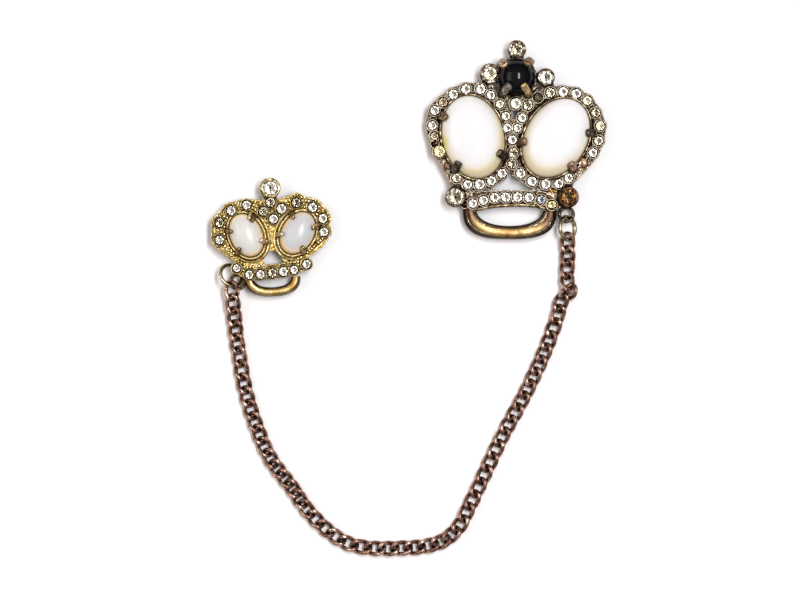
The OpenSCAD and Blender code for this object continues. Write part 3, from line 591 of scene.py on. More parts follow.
# Outwards of its rubbed inner edge the large wall is tarnished black
LARGE_WALL_MARKS = [1, 1, 1, 1, 0, 0, 0, 0, 0]
small_wall = [(0.32, 1.0), (0.34, 1.5), (0.3, 1.62), (0.22, 1.68), (0.13, 1.62), (0.07, 1.5), (0.05, 1.0)]
SMALL_WALL_MARKS = [1, 1, 0, 0, 0, 0, 1]
ridge = [(1.42, 1.0), (1.42, 1.4), (1.32, 1.56), (1.16, 1.62), (1.0, 1.56), (0.9, 1.4), (0.88, 1.0)]
groove = [(0.3, 1.2), (0.3, 1.36), (0.84, 1.36), (0.84, 1.2)]
# Arcs in degrees
RIDGE_ARCS = [(-135, 50), (145, 300)]
GROOVE_ARCS = [(150, 275), (-60, 50)]

bezels = Shape(LARGE)
for oval in large_ovals:
    bezels.add(cleared(oval_ring(oval, large_wall, steps=96), large_seats), LARGE_WALL_MARKS)
piece("large_oval_bezels", bezels, [bezel_brown, tarnish])

bezels = Shape(SMALL)
for oval in small_ovals:
    bezels.add(cleared(oval_ring(oval, small_wall, steps=96), small_stones), SMALL_WALL_MARKS)
for oval, ridge_arc, groove_arc in zip(small_ovals, RIDGE_ARCS, GROOVE_ARCS):
    bezels.add(cleared(oval_ring(oval, ridge, *ridge_arc), small_stones))
    bezels.add(cleared(oval_ring(oval, groove, *groove_arc), small_stones), 1)
piece("small_oval_bezels", bezels, [gilt_beads, gilt_grooves])

# %% [markdown]
# ## Beads
#
# In the gaps between the stones stand small cast beads. On the large crown there is one at
# each side of two neighbouring stones. On the small crown the gaps are filled with rows of
# finer ones, which catch the light as a gold glitter. A ray cast down on the casting tells
# where there is metal to stand on, so no bead hangs over an opening.

# %% Beads
PLATE = 1.3


def bead(x, y, z, r, flat=0.8, steps=10, levels=5):
    """A low ball; rings from its lower side to its top, closed at both ends."""
    rings = []
    for k in range(levels + 1):
        up = pi * (k / levels - 0.5)
        rings.append([(x + r * cos(up) * cos(a), y + r * cos(up) * sin(a), z + flat * r * sin(up))
                      for a in around(steps)])
    return skin(rings, closed=False)

# %% Free places on the castings
def casting_tree(node):
    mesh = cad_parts[node].data
    return BVHTree.FromPolygons([v.co[:] for v in mesh.vertices], [p.vertices[:] for p in mesh.polygons])


def on_plate(tree, crown, x, y, reach):
    """True where the casting is flat at a place and at a reach to each side of it."""
    for dx, dy in ((0, 0), (reach, 0), (-reach, 0), (0, reach), (0, -reach)):
        from_above = Vector(((crown[0] + x + dx) * MM, (crown[1] + y + dy) * MM, 20 * MM))
        hit = tree.ray_cast(from_above, Vector((0, 0, -1)))[0]
        if hit is None or abs(hit.z - (crown[2] + PLATE) * MM) > 0.4 * MM:
            return False
    return True


def room(x, y, seats, ovals, gap):
    """True where a bead would stand clear of the stones and of the ovals' walls."""
    if any(hypot(x - sx, y - sy) < d / 2 + gap for sx, sy, d in seats):
        return False
    for ox, oy, turn, half_wid, half_len in ovals:
        u, v = turned(x - ox, y - oy, -turn)
        if hypot(u / (half_wid + gap + 0.35), v / (half_len + gap + 0.35)) < 1:
            return False
    return True


def gap_beads(seats, ovals, far, reach):
    """Places on both sides of each pair of neighbours."""
    found = []
    for one, other in combinations(seats, 2):
        apart = dist(one[:2], other[:2])
        if apart > far:
            continue
        for side in (-reach / apart, reach / apart):
            x = (one[0] + other[0]) / 2 - side * (other[1] - one[1])
            y = (one[1] + other[1]) / 2 + side * (other[0] - one[0])
            taken = any(hypot(x - bx, y - by) < 0.42 for bx, by in found)
            if room(x, y, seats, ovals, 0.2) and not taken:
                found.append((x, y))
    return found

# %% Beads of the large crown
beads = Shape(LARGE)
large_tree = casting_tree("large_crown_frame")
for x, y in gap_beads(large_seats, large_ovals, 3.4, 0.62):
    if on_plate(large_tree, LARGE, x, y, 0.1):
        beads.add(bead(x, y, 1.5, random.uniform(0.2, 0.28)))
# Flat metal fills the two seats that never held a stone, with a few worn beads on it
for x, y, d in filled_seats:
    beads.add(bead(x, y, 1.25, d / 2 - 0.04, flat=0.35, steps=20), 1)
for x, y in [(15.3, -4.2), (14.7, -5.0), (14.1, -5.8), (13.3, -6.9), (-14.7, -5.2), (-14.2, -6.0)]:
    beads.add(bead(x, y, 1.45, 0.24))
piece("large_beads", beads, [rose_beads, claw_rose])

# %% Beads of the small crown
def row_beads(oval, out, start, stop, step=0.7):
    """Free places along an offset of one of the small ovals."""
    length = radians(stop - start) * (oval[3] + oval[4] + 2 * out) / 2
    count = max(2, round(length / step))
    places = [on_oval(oval, out, start + (stop - start) * k / count) for k in range(count + 1)]
    return [(x, y) for x, y in places if room(x, y, small_stones, small_ovals, 0.26)]


grains = []
for oval, arc in zip(small_ovals, [(40, 235), (-60, 140)]):
    for out in (1.1, 1.8, 2.5, 3.2, 3.9):
        grains += row_beads(oval, out, *arc)
grains += gap_beads(small_middle + [small_left_row[0], small_right_row[0]], small_ovals, 3.6, 0.5)
# The strip above the small band
grains += [(-4.6 + 0.62 * k, -6.85 + 0.075 * k) for k in range(17)]
# The strip below the right row has beads of its own, and between the ovals the metal is smooth
small_tree = casting_tree("small_crown_frame")
grains = [(x, y) for x, y in grains if on_plate(small_tree, SMALL, x, y, 0.2)
          and not (x > 7 and 9.9 < x - y < 14) and not (abs(x - 0.7) < 1.5 and -5.5 < y < 1.9)]
grains += [(11.5 - 0.46 * k, -0.62 - 0.42 * k) for k in range(8)]
beads = Shape(SMALL)
for x, y in grains:
    beads.add(bead(x, y, PLATE, random.uniform(0.22, 0.33), flat=0.9))
piece("small_beads", beads, [gilt_beads])

beads = Shape(SMALL)
for x, y in gap_beads(small_band, [], 3.0, 0.85):
    beads.add(bead(x, y, PLATE + 0.1, 0.22))
piece("small_band_grains", beads, [grain_metal])

# %% [markdown]
# ## Raised lines
#
# Both castings have thin raised lines along their edges. Rubbed bright on top and dark at
# both sides, they draw the outline. A line is a flat round section carried through a few
# places on a smooth curve. Blender's curves can do that too, but a plain mesh lets `cleared`
# push its points off the stones.

# %% Raised lines
def between(one, other, leaving, arriving, t):
    """The place at share t of a curve between two places, with its paces at both."""
    s = 1 - t
    return (one * s * s * (1 + 2 * t) + other * t * t * (1 + 2 * s)
            + leaving * t * s * s - arriving * t * t * s)


def smooth_line(places, steps=6):
    """Places on a curve that passes through the given ones."""
    places = [np.array(place, float) for place in places]
    found = []
    for k in range(len(places) - 1):
        before = (places[k + 1] - places[max(k - 1, 0)]) / 2
        after = (places[min(k + 2, len(places) - 1)] - places[k]) / 2
        found += [between(places[k], places[k + 1], before, after, i / steps) for i in range(steps)]
    return found + [places[-1]]


def unit(vector):
    return vector / np.linalg.norm(vector)


def with_headings(path):
    """Each place of a line with the line's direction there."""
    last = len(path) - 1
    return [(here, unit(path[min(i + 1, last)] - path[max(i - 1, 0)])) for i, here in enumerate(path)]


def raised_line(places, wide, high, sides=10):
    return skin([[(here[0] - along[1] * wide * cos(a), here[1] + along[0] * wide * cos(a),
                   PLATE + high * sin(a)) for a in around(sides)]
                 for here, along in with_headings(smooth_line(places))], closed=False)

# %% Where the lines run
band_rail = [
    (-8.6, -15.0), (-6.6, -14.6), (-4.2, -14.2), (-1.0, -14.0), (2.4, -14.0), (5.0, -14.3), (7.6, -15.2)]
thin_lines = [
    [(-1.0, -7.5), (-3.3, -9.3), (-5.5, -10.98)], [(-0.6, -7.5), (1.9, -9.3), (4.7, -10.98)],
    [(-8.2, -11.3), (-5.5, -10.98), (-0.4, -10.96), (4.7, -10.98), (6.8, -11.4)]]
rose_lines = [
    [(-17.6, -3.2), (-16.9, -3.9), (-16.0, -4.8), (-15.4, -6.0), (-14.3, -8.2), (-13.7, -9.6)],
    [(17.5, -3.4), (17.2, -4.1), (15.9, -5.6), (14.7, -6.9), (13.4, -8.1), (12.5, -9.3)],
    [(15.8, -3.5), (14.9, -4.6), (13.6, -5.9), (12.6, -6.8)]]
small_lines = [
    [(-1.8, 7.6), (-3.2, 7.6), (-4.7, 7.8), (-6.0, 7.6), (-8.2, 6.95), (-9.2, 6.45), (-11.6, 3.9),
    (-12.15, 2.8), (-12.15, -0.9), (-11.8, -1.8), (-10.7, -2.9), (-7.2, -5.3)], [(1.8, 7.8), (3.4, 8.1),
    (4.7, 8.65), (5.9, 9.1), (6.9, 8.9), (8.0, 8.2), (9.2, 7.95), (10.3, 7.75), (11.0, 7.1), (11.6, 6.2),
    (12.55, 5.3), (13.15, 4.3), (13.2, 3.0), (13.1, 2.0), (13.2, 0.8), (12.7, -0.6), (11.3, -2.4),
    (8.7, -4.3)], [(-1.5, -6.45), (3.6, -5.95)], [(10.7, 0.1), (9.1, -1.8), (7.2, -3.5)]]
shoulder_ridge = [(3.1, 10.2), (4.0, 10.9), (4.9, 11.5)]
dark_strip = [(11.7, -0.5), (9.9, -2.1), (8.1, -3.7)]

# %% Lines of both crowns
lines = Shape(LARGE)
lines.add(raised_line(band_rail, 0.34, 0.32), 1)
for group, wide, mark in ((thin_lines, 0.13, 0), (rose_lines, 0.17, 2)):
    for line in group:
        lines.add(cleared(raised_line(line, wide, 0.2), large_seats, large_ovals), mark)
lines.add(cleared(raised_line(shoulder_ridge, 0.42, 0.6), large_seats, large_ovals), 1)
piece("large_raised_lines", lines, [rose_beads, bezel_brown, claw_rose])
lines = Shape(SMALL)
for line in small_lines:
    lines.add(cleared(raised_line(line, 0.15, 0.22), small_stones, small_ovals))
lines.add(raised_line(dark_strip, 0.5, 0.06), 1)
piece("small_raised_lines", lines, [gilt_beads, gilt_grooves])

# %% [markdown]
# ## Ball settings
#
# The larger stones sit in turned cups with a rounded belly and a lip rolled over the stone.
# A cup is one outline turned about its axis, as on a lathe. The outline counts from the
# cup's own radius, so that one outline serves cups of every size.

# %% Ball cups
def cup_ring(ball, over):
    """A cup, its section outwards from its own radius. over: how far the lip covers the stone."""
    x, y, stone_d, cup_d = ball
    lip = (stone_d - cup_d) / 2
    return turned_ring(x, y, cup_d / 2, [
        (-0.56, -0.02), (-0.2, 0.3), (0.03, 0.72), (0.08, 1.3), (0.07, 1.8), (0.03, 2.1),
        (-0.1, 2.26), (lip + 0.14, 2.33), (lip + 0.08 - over, 2.3), (lip - over, 2.2),
        (lip - 0.05, 2.12), (lip + 0.05, 2.02), (lip + 0.06, 0.36), (lip - 0.3, -0.02)], steps=48)


# The lip's inner slope is tarnished where the cloth never reaches. The right band cup is brown
CUP_MARKS = [0] * 8 + [1] * 6
BROWN_CUP_MARKS = [2] * 8 + [1] * 6
BLACK_RIM = [(0.4, 1.9), (0.42, 2.5), (0.34, 2.66), (0.22, 2.7), (0.12, 2.62), (0.08, 2.4), (0.08, 1.9)]

cups = Shape(LARGE)
for ball in (crest_ball, left_shoulder, right_shoulder, left_band_ball):
    cups.add(cup_ring(ball, 0.1), CUP_MARKS)
cups.add(cup_ring(right_band_ball, 0.1), BROWN_CUP_MARKS)
cups.add(turned_ring(*BLACK_AT, BLACK_RADIUS, BLACK_RIM, steps=64))
piece("large_ball_cups", cups, [cup_metal, tarnish, brown_cup_metal])
cups = Shape(SMALL).add(cup_ring(small_crest, 0.02), CUP_MARKS)
piece("small_ball_cup", cups, [gilt_rim, tarnish])

# %% [markdown]
# ## Cut stones
#
# A chaton has a table, eight kites, eight star facets and sixteen girdle facets above, and
# mains with halves below. The heights are shares of the diameter, as in the solids. A cone
# with few sides would be quicker, but the sparkle comes from facets that face many ways.

# %% The facets of a stone
def level(radius, height, count=8, turn=0.0):
    """Points of a stone at one height, turned by a share of their step."""
    angles = [(k + turn) * 2 * pi / count for k in range(count)]
    return [(radius * cos(a), radius * sin(a), height) for a in angles]


def cut_stone():
    """Points and faces of a stone one unit across, and on each face 0 for glass, 1 for foil
    and 2 round the point below, where the foil has worn off."""
    girdle, table, star = level(0.5, 0, count=16), level(0.275, 0.2, turn=0.5), level(0.4, 0.116)
    half, worn, point = level(0.12, -0.296), level(0.085, -0.318, turn=0.5), [(0, 0, -0.38)]
    table_at, star_at, half_at, worn_at, point_at = 16, 24, 32, 40, 48
    upper = [tuple(table_at + k for k in range(8))]
    lower = []
    lowest = []
    for k in range(8):
        n = (k + 1) % 8
        girdle_at = 2 * k + 1
        upper += [(table_at + (k - 1) % 8, table_at + k, star_at + k),
                  (table_at + k, star_at + k, girdle_at, star_at + n),
                  (star_at + k, 2 * k, girdle_at), (star_at + n, girdle_at, 2 * n)]
        lower += [(girdle_at, half_at + k, worn_at + k, half_at + n),
                  (half_at + k, 2 * k, girdle_at), (half_at + n, girdle_at, 2 * n)]
        lowest += [(half_at + n, worn_at + k, point_at), (worn_at + k, half_at + k, point_at)]
    marks = [0] * len(upper) + [1] * len(lower) + [2] * len(lowest)
    return np.array(girdle + table + star + half + worn + point), upper + lower + lowest, marks


stone_points, stone_faces, stone_marks = cut_stone()

# %% Setting the stones
def add_stone(shape, stone, z, marks, tilt=2.5):
    """One stone, turned and tilted a little as a setter leaves it. marks: those of its
    glass, its foil and the worn place."""
    x, y, d = stone[:3]
    turn = degrees(random.uniform(0, pi / 4))
    tip_x = radians(random.uniform(-tilt, tilt))
    tip_y = radians(random.uniform(-tilt, tilt))
    u, v = turned(stone_points[:, 0] * d, stone_points[:, 1] * d, turn)
    w = stone_points[:, 2] * d + u * tan(tip_x) + v * tan(tip_y)
    shape.add((np.stack([u + x, v + y, w + z], 1), stone_faces), [marks[mark] for mark in stone_marks])


PAVE_Z = 1.35
BALL_Z = 1.95
PROUD = 0.4
# Materials of the small stones: two glasses, then the foils
stone_finishes = [
    stone_glass, yellow_glass, silver_foil, aged_foil, yellow_foil, lost_foil, blue_foil, beige_foil,
    tarnish]
CLEAR, YELLOW, SILVER, AGED, YELLOWED, LOST, BLUED, BEIGE, BARE = range(9)
odd_backs = {
    large_right_row[0]: LOST, large_band[6]: BLUED, large_band[7]: YELLOWED, large_right_row[4]: YELLOWED,
    large_right_row[6]: YELLOWED, large_right_row[7]: AGED, large_left_row[5]: BEIGE,
    large_left_row[8]: BEIGE, large_left_row[0]: YELLOWED, large_right_row[1]: AGED}

# %% Small stones
pave = Shape(LARGE)
for stone in large_stones:
    back = odd_backs.get(stone, random.choice((SILVER, SILVER, SILVER, AGED)))
    worn = random.choice((BARE, back, back))
    add_stone(pave, stone, PAVE_Z, (YELLOW if stone == large_band[7] else CLEAR, back, worn))
add_stone(pave, yellow_stone, PAVE_Z + PROUD, (YELLOW, YELLOWED, YELLOWED))
piece("large_pave", pave, stone_finishes, sharp=1, stands_for=["large_pave_stones"])

pave = Shape(SMALL)
for stone in small_stones:
    back = random.choice((SILVER, SILVER, SILVER, SILVER, AGED))
    add_stone(pave, stone, PAVE_Z, (CLEAR, back, random.choice((BARE, back))))
piece("small_pave", pave, stone_finishes, sharp=1, stands_for=["small_pave_stones"])

# %% Stones of the balls
for name, ball, glass, back, worn in [
        ("crest", crest_ball, stone_glass, aged_foil, tarnish),
        ("left_shoulder", left_shoulder, stone_glass, yellow_foil, aged_foil),
        ("right_shoulder", right_shoulder, stone_glass, silver_foil, tarnish),
        ("left_band", left_band_ball, stone_glass, aged_foil, tarnish),
        ("right_band", right_band_ball, amber_clear, rust_foil, tarnish),
        ("small_crest", small_crest, stone_glass, silver_foil, tarnish)]:
    shape = Shape(SMALL if ball == small_crest else LARGE)
    add_stone(shape, ball, BALL_Z, (0, 1, 2), tilt=1.5)
    slot_name = "amber_glass" if glass == amber_clear else "cut_glass"
    piece(name + "_chaton", shape, [glass, back, worn], sharp=1, stands_for=[name + "_stone"])

# %% [markdown]
# ## Cabochons
#
# A cabochon is a dome on a short straight foot. Rings of points carry the outline up the
# dome, closer together near the edge, where the curve is tightest. A flattened sphere would
# have no foot to sit in the bezel.

# %% Cabochons
EASE = 0.12
OVAL_SEAT, BLACK_SEAT = 0.58, 2.2
LARGE_FOOT, SMALL_FOOT, BLACK_FOOT = 1.32, 1.02, 0.8
LARGE_TALL, SMALL_TALL, BLACK_TALL = 5.0, 3.6, 4.2


def dome(half_wid, half_len, height, foot, levels=18):
    """A dome whose foot is softly rounded below."""
    spans = [(-EASE, 1, 0.0), (0.0, 1, EASE), (0.0, 1, foot)]
    for k in range(1, levels + 1):
        up = pi / 2 * k / levels
        spans.append((0.0, cos(up) if k < levels else 0.004, foot + (height - foot) * sin(up)))
    return skin([[((half_wid + out) * shrink * cos(a), (half_len + out) * shrink * sin(a), z)
                  for a in around(72)] for out, shrink, z in spans], closed=False)


for size, ovals, crown, height, foot, finishes, slot_name in [
        ("large", large_ovals, LARGE, LARGE_TALL, LARGE_FOOT, (opal_left, opal_right), "opaque_white_glass"),
        ("small", small_ovals, SMALL, SMALL_TALL, SMALL_FOOT, (moon_left, moon_right), "moonstone_glass")]:
    for side, (x, y, turn, half_wid, half_len), finish in zip(("left", "right"), ovals, finishes):
        piece(size + "_" + side + "_cabochon", Shape().add(dome(half_wid, half_len, height, foot)), [finish],
              sharp=60, stands_for=[size + "_" + side + "_oval"],
              at=(crown[0] + x, crown[1] + y, crown[2] + OVAL_SEAT), turn=turn)
piece("round_black_cabochon", Shape().add(dome(BLACK_RADIUS, BLACK_RADIUS, BLACK_TALL, BLACK_FOOT)), [black],
      sharp=60, stands_for=["black_cabochon"],
      at=(LARGE[0] + BLACK_AT[0], LARGE[1] + BLACK_AT[1], LARGE[2] + BLACK_SEAT))

# %% [markdown]
# ## Claws
#
# Flat claws are bent over the ovals, four longer and rounder ones hold the black stone. A
# claw is a flattened section carried up beside the stone and over its edge, at a constant
# distance from the glass, and closed with a rounded tip. A straight bar bent by a modifier
# would not follow the dome so closely.

# %% One claw
CLAW_GAP = 0.13
# Each section of the tip: how far ahead it lies, and its size
TIP = ((0.22, 0.94), (0.38, 0.8), (0.5, 0.54), (0.56, 0.16))


def blunt(value, power):
    """The cosine or sine of an outline between a circle, power 2, and its square."""
    return copysign(abs(value) ** (2 / power), value)


def claw(r, edge, reach, foot_top, rise, wide, thick=0.04):
    """A claw along the x axis, as an open skin with a rounded tip."""
    off = r + CLAW_GAP
    stand = edge + off + 0.1
    path = [(stand, 0.35), (stand, foot_top * 0.6), (stand, foot_top - 0.15)]
    for k in range(1, 7):
        up = acos(1 - k / 6 * reach / edge)
        out, high = cos(up) / edge, sin(up) / rise
        share = off / hypot(out, high)
        path.append((edge * cos(up) + out * share, foot_top + rise * sin(up) + high * share))
    sections = [(here, along, 1.0) for here, along in with_headings([np.array(place) for place in path])]
    last, along = sections[-1][:2]
    sections += [(last + along * ahead * r / 0.5, along, scale) for ahead, scale in TIP]
    rings = []
    for here, along, scale in sections:
        lifts = [blunt(sin(a), 2.5) * (r + thick) * scale for a in around(14)]
        flats = [blunt(cos(a), 2.5) * wide * scale for a in around(14)]
        rings.append([(here[0] - along[1] * lift, flat, here[1] + along[0] * lift)
                      for lift, flat in zip(lifts, flats)])
    return skin(rings, closed=False)

# %% Claws round an oval
def edge_at(oval, direction):
    """Distance from an oval's middle to its edge."""
    a = radians(direction - oval[2])
    return 1 / hypot(cos(a) / oval[3], sin(a) / oval[4])


def swung(body, x, y, direction):
    """A body turned to a direction and moved to a place."""
    points, faces = body
    u, v = turned(points[:, 0], points[:, 1], direction)
    return np.stack([u + x, v + y, points[:, 2]], 1), faces


def oval_claws(claws, oval, rows, r, foot, tall, wide):
    """rows: for each claw its direction, its reach over the stone and its material."""
    for direction, reach, mark in rows:
        body = claw(r, edge_at(oval, direction), reach, OVAL_SEAT + foot, tall - foot, wide)
        claws.add(swung(body, *oval[:2], direction), mark)

# %% Claws of both crowns
BROWN, ROSE, GOLD, GREY, DARK = range(5)
claws = Shape(LARGE)
large_rows = [[(146, 0.8, BROWN), (-119, 1.3, DARK), (-32, 1.3, DARK)],
              [(187, 0.8, BROWN), (8, 0.8, DARK), (-61, 0.9, ROSE)]]
for oval, rows in zip(large_ovals, large_rows):
    oval_claws(claws, oval, rows, 0.5, LARGE_FOOT, LARGE_TALL, 0.92)
for direction, reach, wide, thick, mark in [
        (136, 0.85, 1.0, 0.2, ROSE), (50, 0.85, 1.0, 0.2, BROWN),
        (-130, 1.55, 0.8, 0.08, GREY), (-54, 1.7, 0.75, 0.04, GOLD)]:
    body = claw(0.5, BLACK_RADIUS, reach, BLACK_SEAT + BLACK_FOOT, BLACK_TALL - BLACK_FOOT, wide, thick)
    claws.add(swung(body, *BLACK_AT, direction), mark)
piece("large_claws", claws, [claw_brown, claw_rose, claw_gold, claw_grey, claw_dark])

# The last claw of each small oval, the one towards the middle, is pale
claws = Shape(SMALL)
for oval, directions in zip(small_ovals, [(67, 167, -116, -19), (106, 18, -70, 185)]):
    rows = [(direction, 0.8, mark) for direction, mark in zip(directions, (0, 0, 0, 1))]
    oval_claws(claws, oval, rows, 0.4, SMALL_FOOT, SMALL_TALL, 0.5)
piece("small_claws", claws, [claw_bronze, claw_gilt])

# %% [markdown]
# ## Half-round loops
#
# Below each band hangs a half-round bar, bent into a wide loop. It is rubbed bright in the
# middle and brown at its ends, and its lower sides are painted dark as shade. Its section,
# flat below and round above, is carried along the rounded outline. Half a torus would look
# too round, as the real loop has shoulders.

# %% Half-round loops
BAR_TALL = 1.5


def half_round(at, turn, wid, length, bar, power, steps=72, sides=16):
    """The bar between an outer and an inner rounded outline, lower half only."""
    rings = []
    for k in range(steps + 1):
        a = pi * (1 + k / steps)
        outer = np.array([wid / 2 * blunt(cos(a), power), length / 2 * blunt(sin(a), power)])
        inner = np.array([(wid / 2 - bar) * blunt(cos(a), 2.2), (length / 2 - bar) * blunt(sin(a), 2.2)])
        middle = (outer + inner) / 2
        reach = (outer - inner) / 2
        reach = reach + 0.06 * unit(reach)
        angles = [pi * j / (sides - 1) for j in range(sides)]
        rings.append([(*(middle + reach * blunt(cos(b), 2.35)), BAR_TALL * blunt(sin(b), 2.35))
                      for b in angles])
    return swung(skin(rings, closed=False), *at, turn)


loop = Shape(LARGE).add(half_round((-1.1, -14.6), 0, 20.2, 13.4, 2.8, 2.9))
piece("large_loop_bar", loop, [large_bar], sharp=50)
loop = Shape(SMALL).add(half_round((0.8, -9.0), 3, 11.9, 8.0, 1.9, 2.5))
piece("small_loop_bar", loop, [small_bar], sharp=50)

# %% [markdown]
# ## Curb chain
#
# Each link is an oval ring of wire, twisted so that it lies flat between its neighbours.
# The route is a smooth curve through places given by link number. A few links at the ends
# and near the top of the right side are moved and turned from it, because they lie
# otherwise in the photo. A curve with an array of links would lay all of them alike.

# %% The chain's route
route = [
    (1, 34.2, 12.0, 2.0), (3, 34.2, 6.4, 1.4), (6, 32.9, -0.8, 1.2), (9, 30.2, -9.1, 1.1),
    (13, 25.6, -19.5, 1.1), (17, 20.1, -29.8, 1.1), (21, 15.0, -40.7, 1.1), (23, 12.4, -46.1, 1.1),
    (24, 11.1, -48.7, 1.1), (25, 9.2, -50.9, 1.1), (26, 6.9, -52.4, 1.1), (27, 4.2, -53.2, 1.1),
    (28, 1.3, -53.6, 1.1), (31, -7.3, -53.8, 1.1), (33, -13.1, -52.7, 1.1), (35, -18.0, -49.5, 1.1),
    (37, -22.0, -45.3, 1.1), (39, -25.0, -40.9, 1.1), (42, -29.8, -34.4, 1.1), (45, -33.15, -26.6, 1.1),
    (48, -35.5, -18.3, 1.1), (50, -36.4, -12.5, 1.1), (51, -36.9, -9.7, 1.15), (53, -37.5, -4.0, 1.7),
    (55, -38.0, 1.6, 2.8)]
LINKS = 55
# x, y, z, turn, lift and roll added to the route's
odd_links = {
    3: (-0.07, -0.03, 0.15, 2, 4.8, -8.3), 4: (0.26, -0.56, 0.58, 17.4, 12.6, -22),
    5: (0.97, -0.43, 0.74, -35.3, -27.3, -2.8), 6: (-0.13, -0.01, 0.15, -5, 6, 4),
    7: (0.01, 0, 0.16, 3, -4, -1.2), 54: (-0.05, 0.02, 0.1, 1, 1, 0),
    55: (-0.02, 0.15, 0.39, -4.5, 5.8, -3)}
WIRE, LINK_LEN, LINK_WID, TWIST = 0.88, 5.0, 3.4, 0.64
stops = [(number, np.array(place)) for number, *place in route]


def pace(k):
    """How far the route goes from one link to the next, near its stop k."""
    n_before, before = stops[max(k - 1, 0)]
    n_after, after = stops[min(k + 1, len(stops) - 1)]
    return (after - before) / (n_after - n_before)


def on_route(n):
    """The place of link number n, which may lie between two numbers."""
    k = max([i for i in range(len(stops) - 1) if stops[i][0] <= n] or [0])
    span = stops[k + 1][0] - stops[k][0]
    share = (n - stops[k][0]) / span
    return between(stops[k][1], stops[k + 1][1], span * pace(k), span * pace(k + 1), share)


def turn_matrix(*angles):
    """Roll about x, then lift about y, then turn about z."""
    return np.array(Euler([radians(angle) for angle in angles]).to_matrix())


print("links:", LINKS)

# %% [markdown]
# The wire's section is a circle square to the wire's own direction, which is why the
# direction is taken from two places just before and after each section.

# %% Links
def link_middle(a):
    return np.array([(LINK_LEN - WIRE) / 2 * cos(a), (LINK_WID - WIRE) / 2 * sin(a), -TWIST * sin(2 * a)])


def wire_link(wire, sections=40, sides=12):
    """A closed wire along a link's middle line."""
    rings = []
    for a in around(sections):
        along = unit(link_middle(a + 0.02) - link_middle(a - 0.02))
        out = unit(np.cross(along, (0, 0, 1)))
        up = np.cross(out, along)
        rings.append([link_middle(a) + wire / 2 * (cos(b) * out + sin(b) * up) for b in around(sides)])
    return skin(rings)


link_points, link_faces = wire_link(WIRE + 0.04)
chain = Shape()
for n in range(1, LINKS + 1):
    ahead = unit(on_route(n + 0.4) - on_route(n - 0.4))
    x, y, z, turn, lift, roll = odd_links.get(n, (0, 0, 0, 0, 0, 0))
    turning = turn_matrix(roll, -degrees(asin(ahead[2])) - lift, degrees(atan2(ahead[1], ahead[0])) + turn)
    chain.add((link_points @ turning.T + on_route(n) + (x, y, z), link_faces))
piece("curb_chain", chain, [chain_wire], sharp=60, stands_for=["chain"])

# %% [markdown]
# ## Jump rings
#
# A jump ring is a round of wire, cut through once to open it. Each one leans, down through
# the cast loop and up outside it. The cut shows as a hairline, made by a thin gap.

# %% Jump rings
RING_WIRE, RING_D = 0.85, 4.9
HALF_CUT = 0.02
RING_STEPS = 56


def jump_ring(name, at, fall_to, fall, cut_at, finish, node):
    """The ring's plane falls towards a direction by a share of the way."""
    lean = turn_matrix(0, degrees(atan(fall)), fall_to)
    rings = []
    for k in range(RING_STEPS + 1):
        a = cut_at + HALF_CUT + 2 * (pi - HALF_CUT) * k / RING_STEPS
        section = [((RING_D + RING_WIRE * cos(b)) / 2 * cos(a), (RING_D + RING_WIRE * cos(b)) / 2 * sin(a),
                    RING_WIRE / 2 * sin(b)) for b in around(14)]
        rings.append(np.array(section) @ lean.T + at)
    piece(name, Shape().add(skin(rings, closed=False)), [finish], sharp=60, stands_for=[node])


jump_ring("large_crown_ring", (34.15, 15.16, 2.24), 3.3, 1.08, 2.2, ring_wire, "large_jump_ring")
jump_ring("small_crown_ring", (-38.31, 4.94, 2.56), 41, 0.79, 0.4, pale_ring_wire, "small_jump_ring")

# %% [markdown]
# ## Crumbs
#
# Two seats have lost their stones and hold crumbs of rusted foil and cement. More crumbs,
# gold and rust, stick between the stones at the right end of the large band. Tiny low beads
# at seeded random places are enough, and they fall the same way in every run.

# %% Crumbs
foil_crumbs = aged_metal("foil_crumbs_and_cement", "#4A2814", "#A87C3E", "#FFE8AC", "#1A0806", patch=0.4)
rust = aged_metal("red_brown_rust", "#2A0E08", "#5A2214", "#8A5434", "#140604", rough=(0.5, 0.6), patch=0.5)

crumbs = Shape(LARGE)
for (x, y, d), mark in zip(lost_seats, (1, 0)):
    crumbs.add(bead(x, y, 0.85, d / 2 - 0.04, flat=0.3), mark)
# Middle of each cluster, how far it spreads, how high it lies and the number of crumbs
for x, y, spread, high, count in [
        (-17.2, -0.9, 0.45, 1.1, 6), (-10.8, -13.9, 0.4, 1.1, 5), (8.1, -10.9, 0.8, 1.45, 16),
        (7.1, -12.3, 0.5, 1.45, 8), (4.5, -11.6, 0.4, 1.45, 5), (4.4, -13.7, 0.45, 1.45, 6),
        (5.8, -14.2, 0.45, 1.45, 6), (9.2, -14.3, 0.4, 1.45, 5)]:
    for k in range(count):
        a = random.uniform(0, 2 * pi)
        reach = random.uniform(0, spread)
        r = random.uniform(0.14, 0.3)
        z = high + random.uniform(-0.1, 0.15)
        crumb = bead(x + reach * cos(a), y + reach * sin(a), z, r, steps=6, levels=3)
        crumbs.add(crumb, random.choice((0, 0, 1)))
piece("foil_crumbs", crumbs, [foil_crumbs, rust])

# %% [markdown]
# ## Finishes of the solids that stay
#
# The castings themselves and the pin backs keep their solids. The pin backs get a small
# bevel, as pressed brass has no knife edges. The castings have far too many cut edges for
# that, so their finish rounds them in the shader.

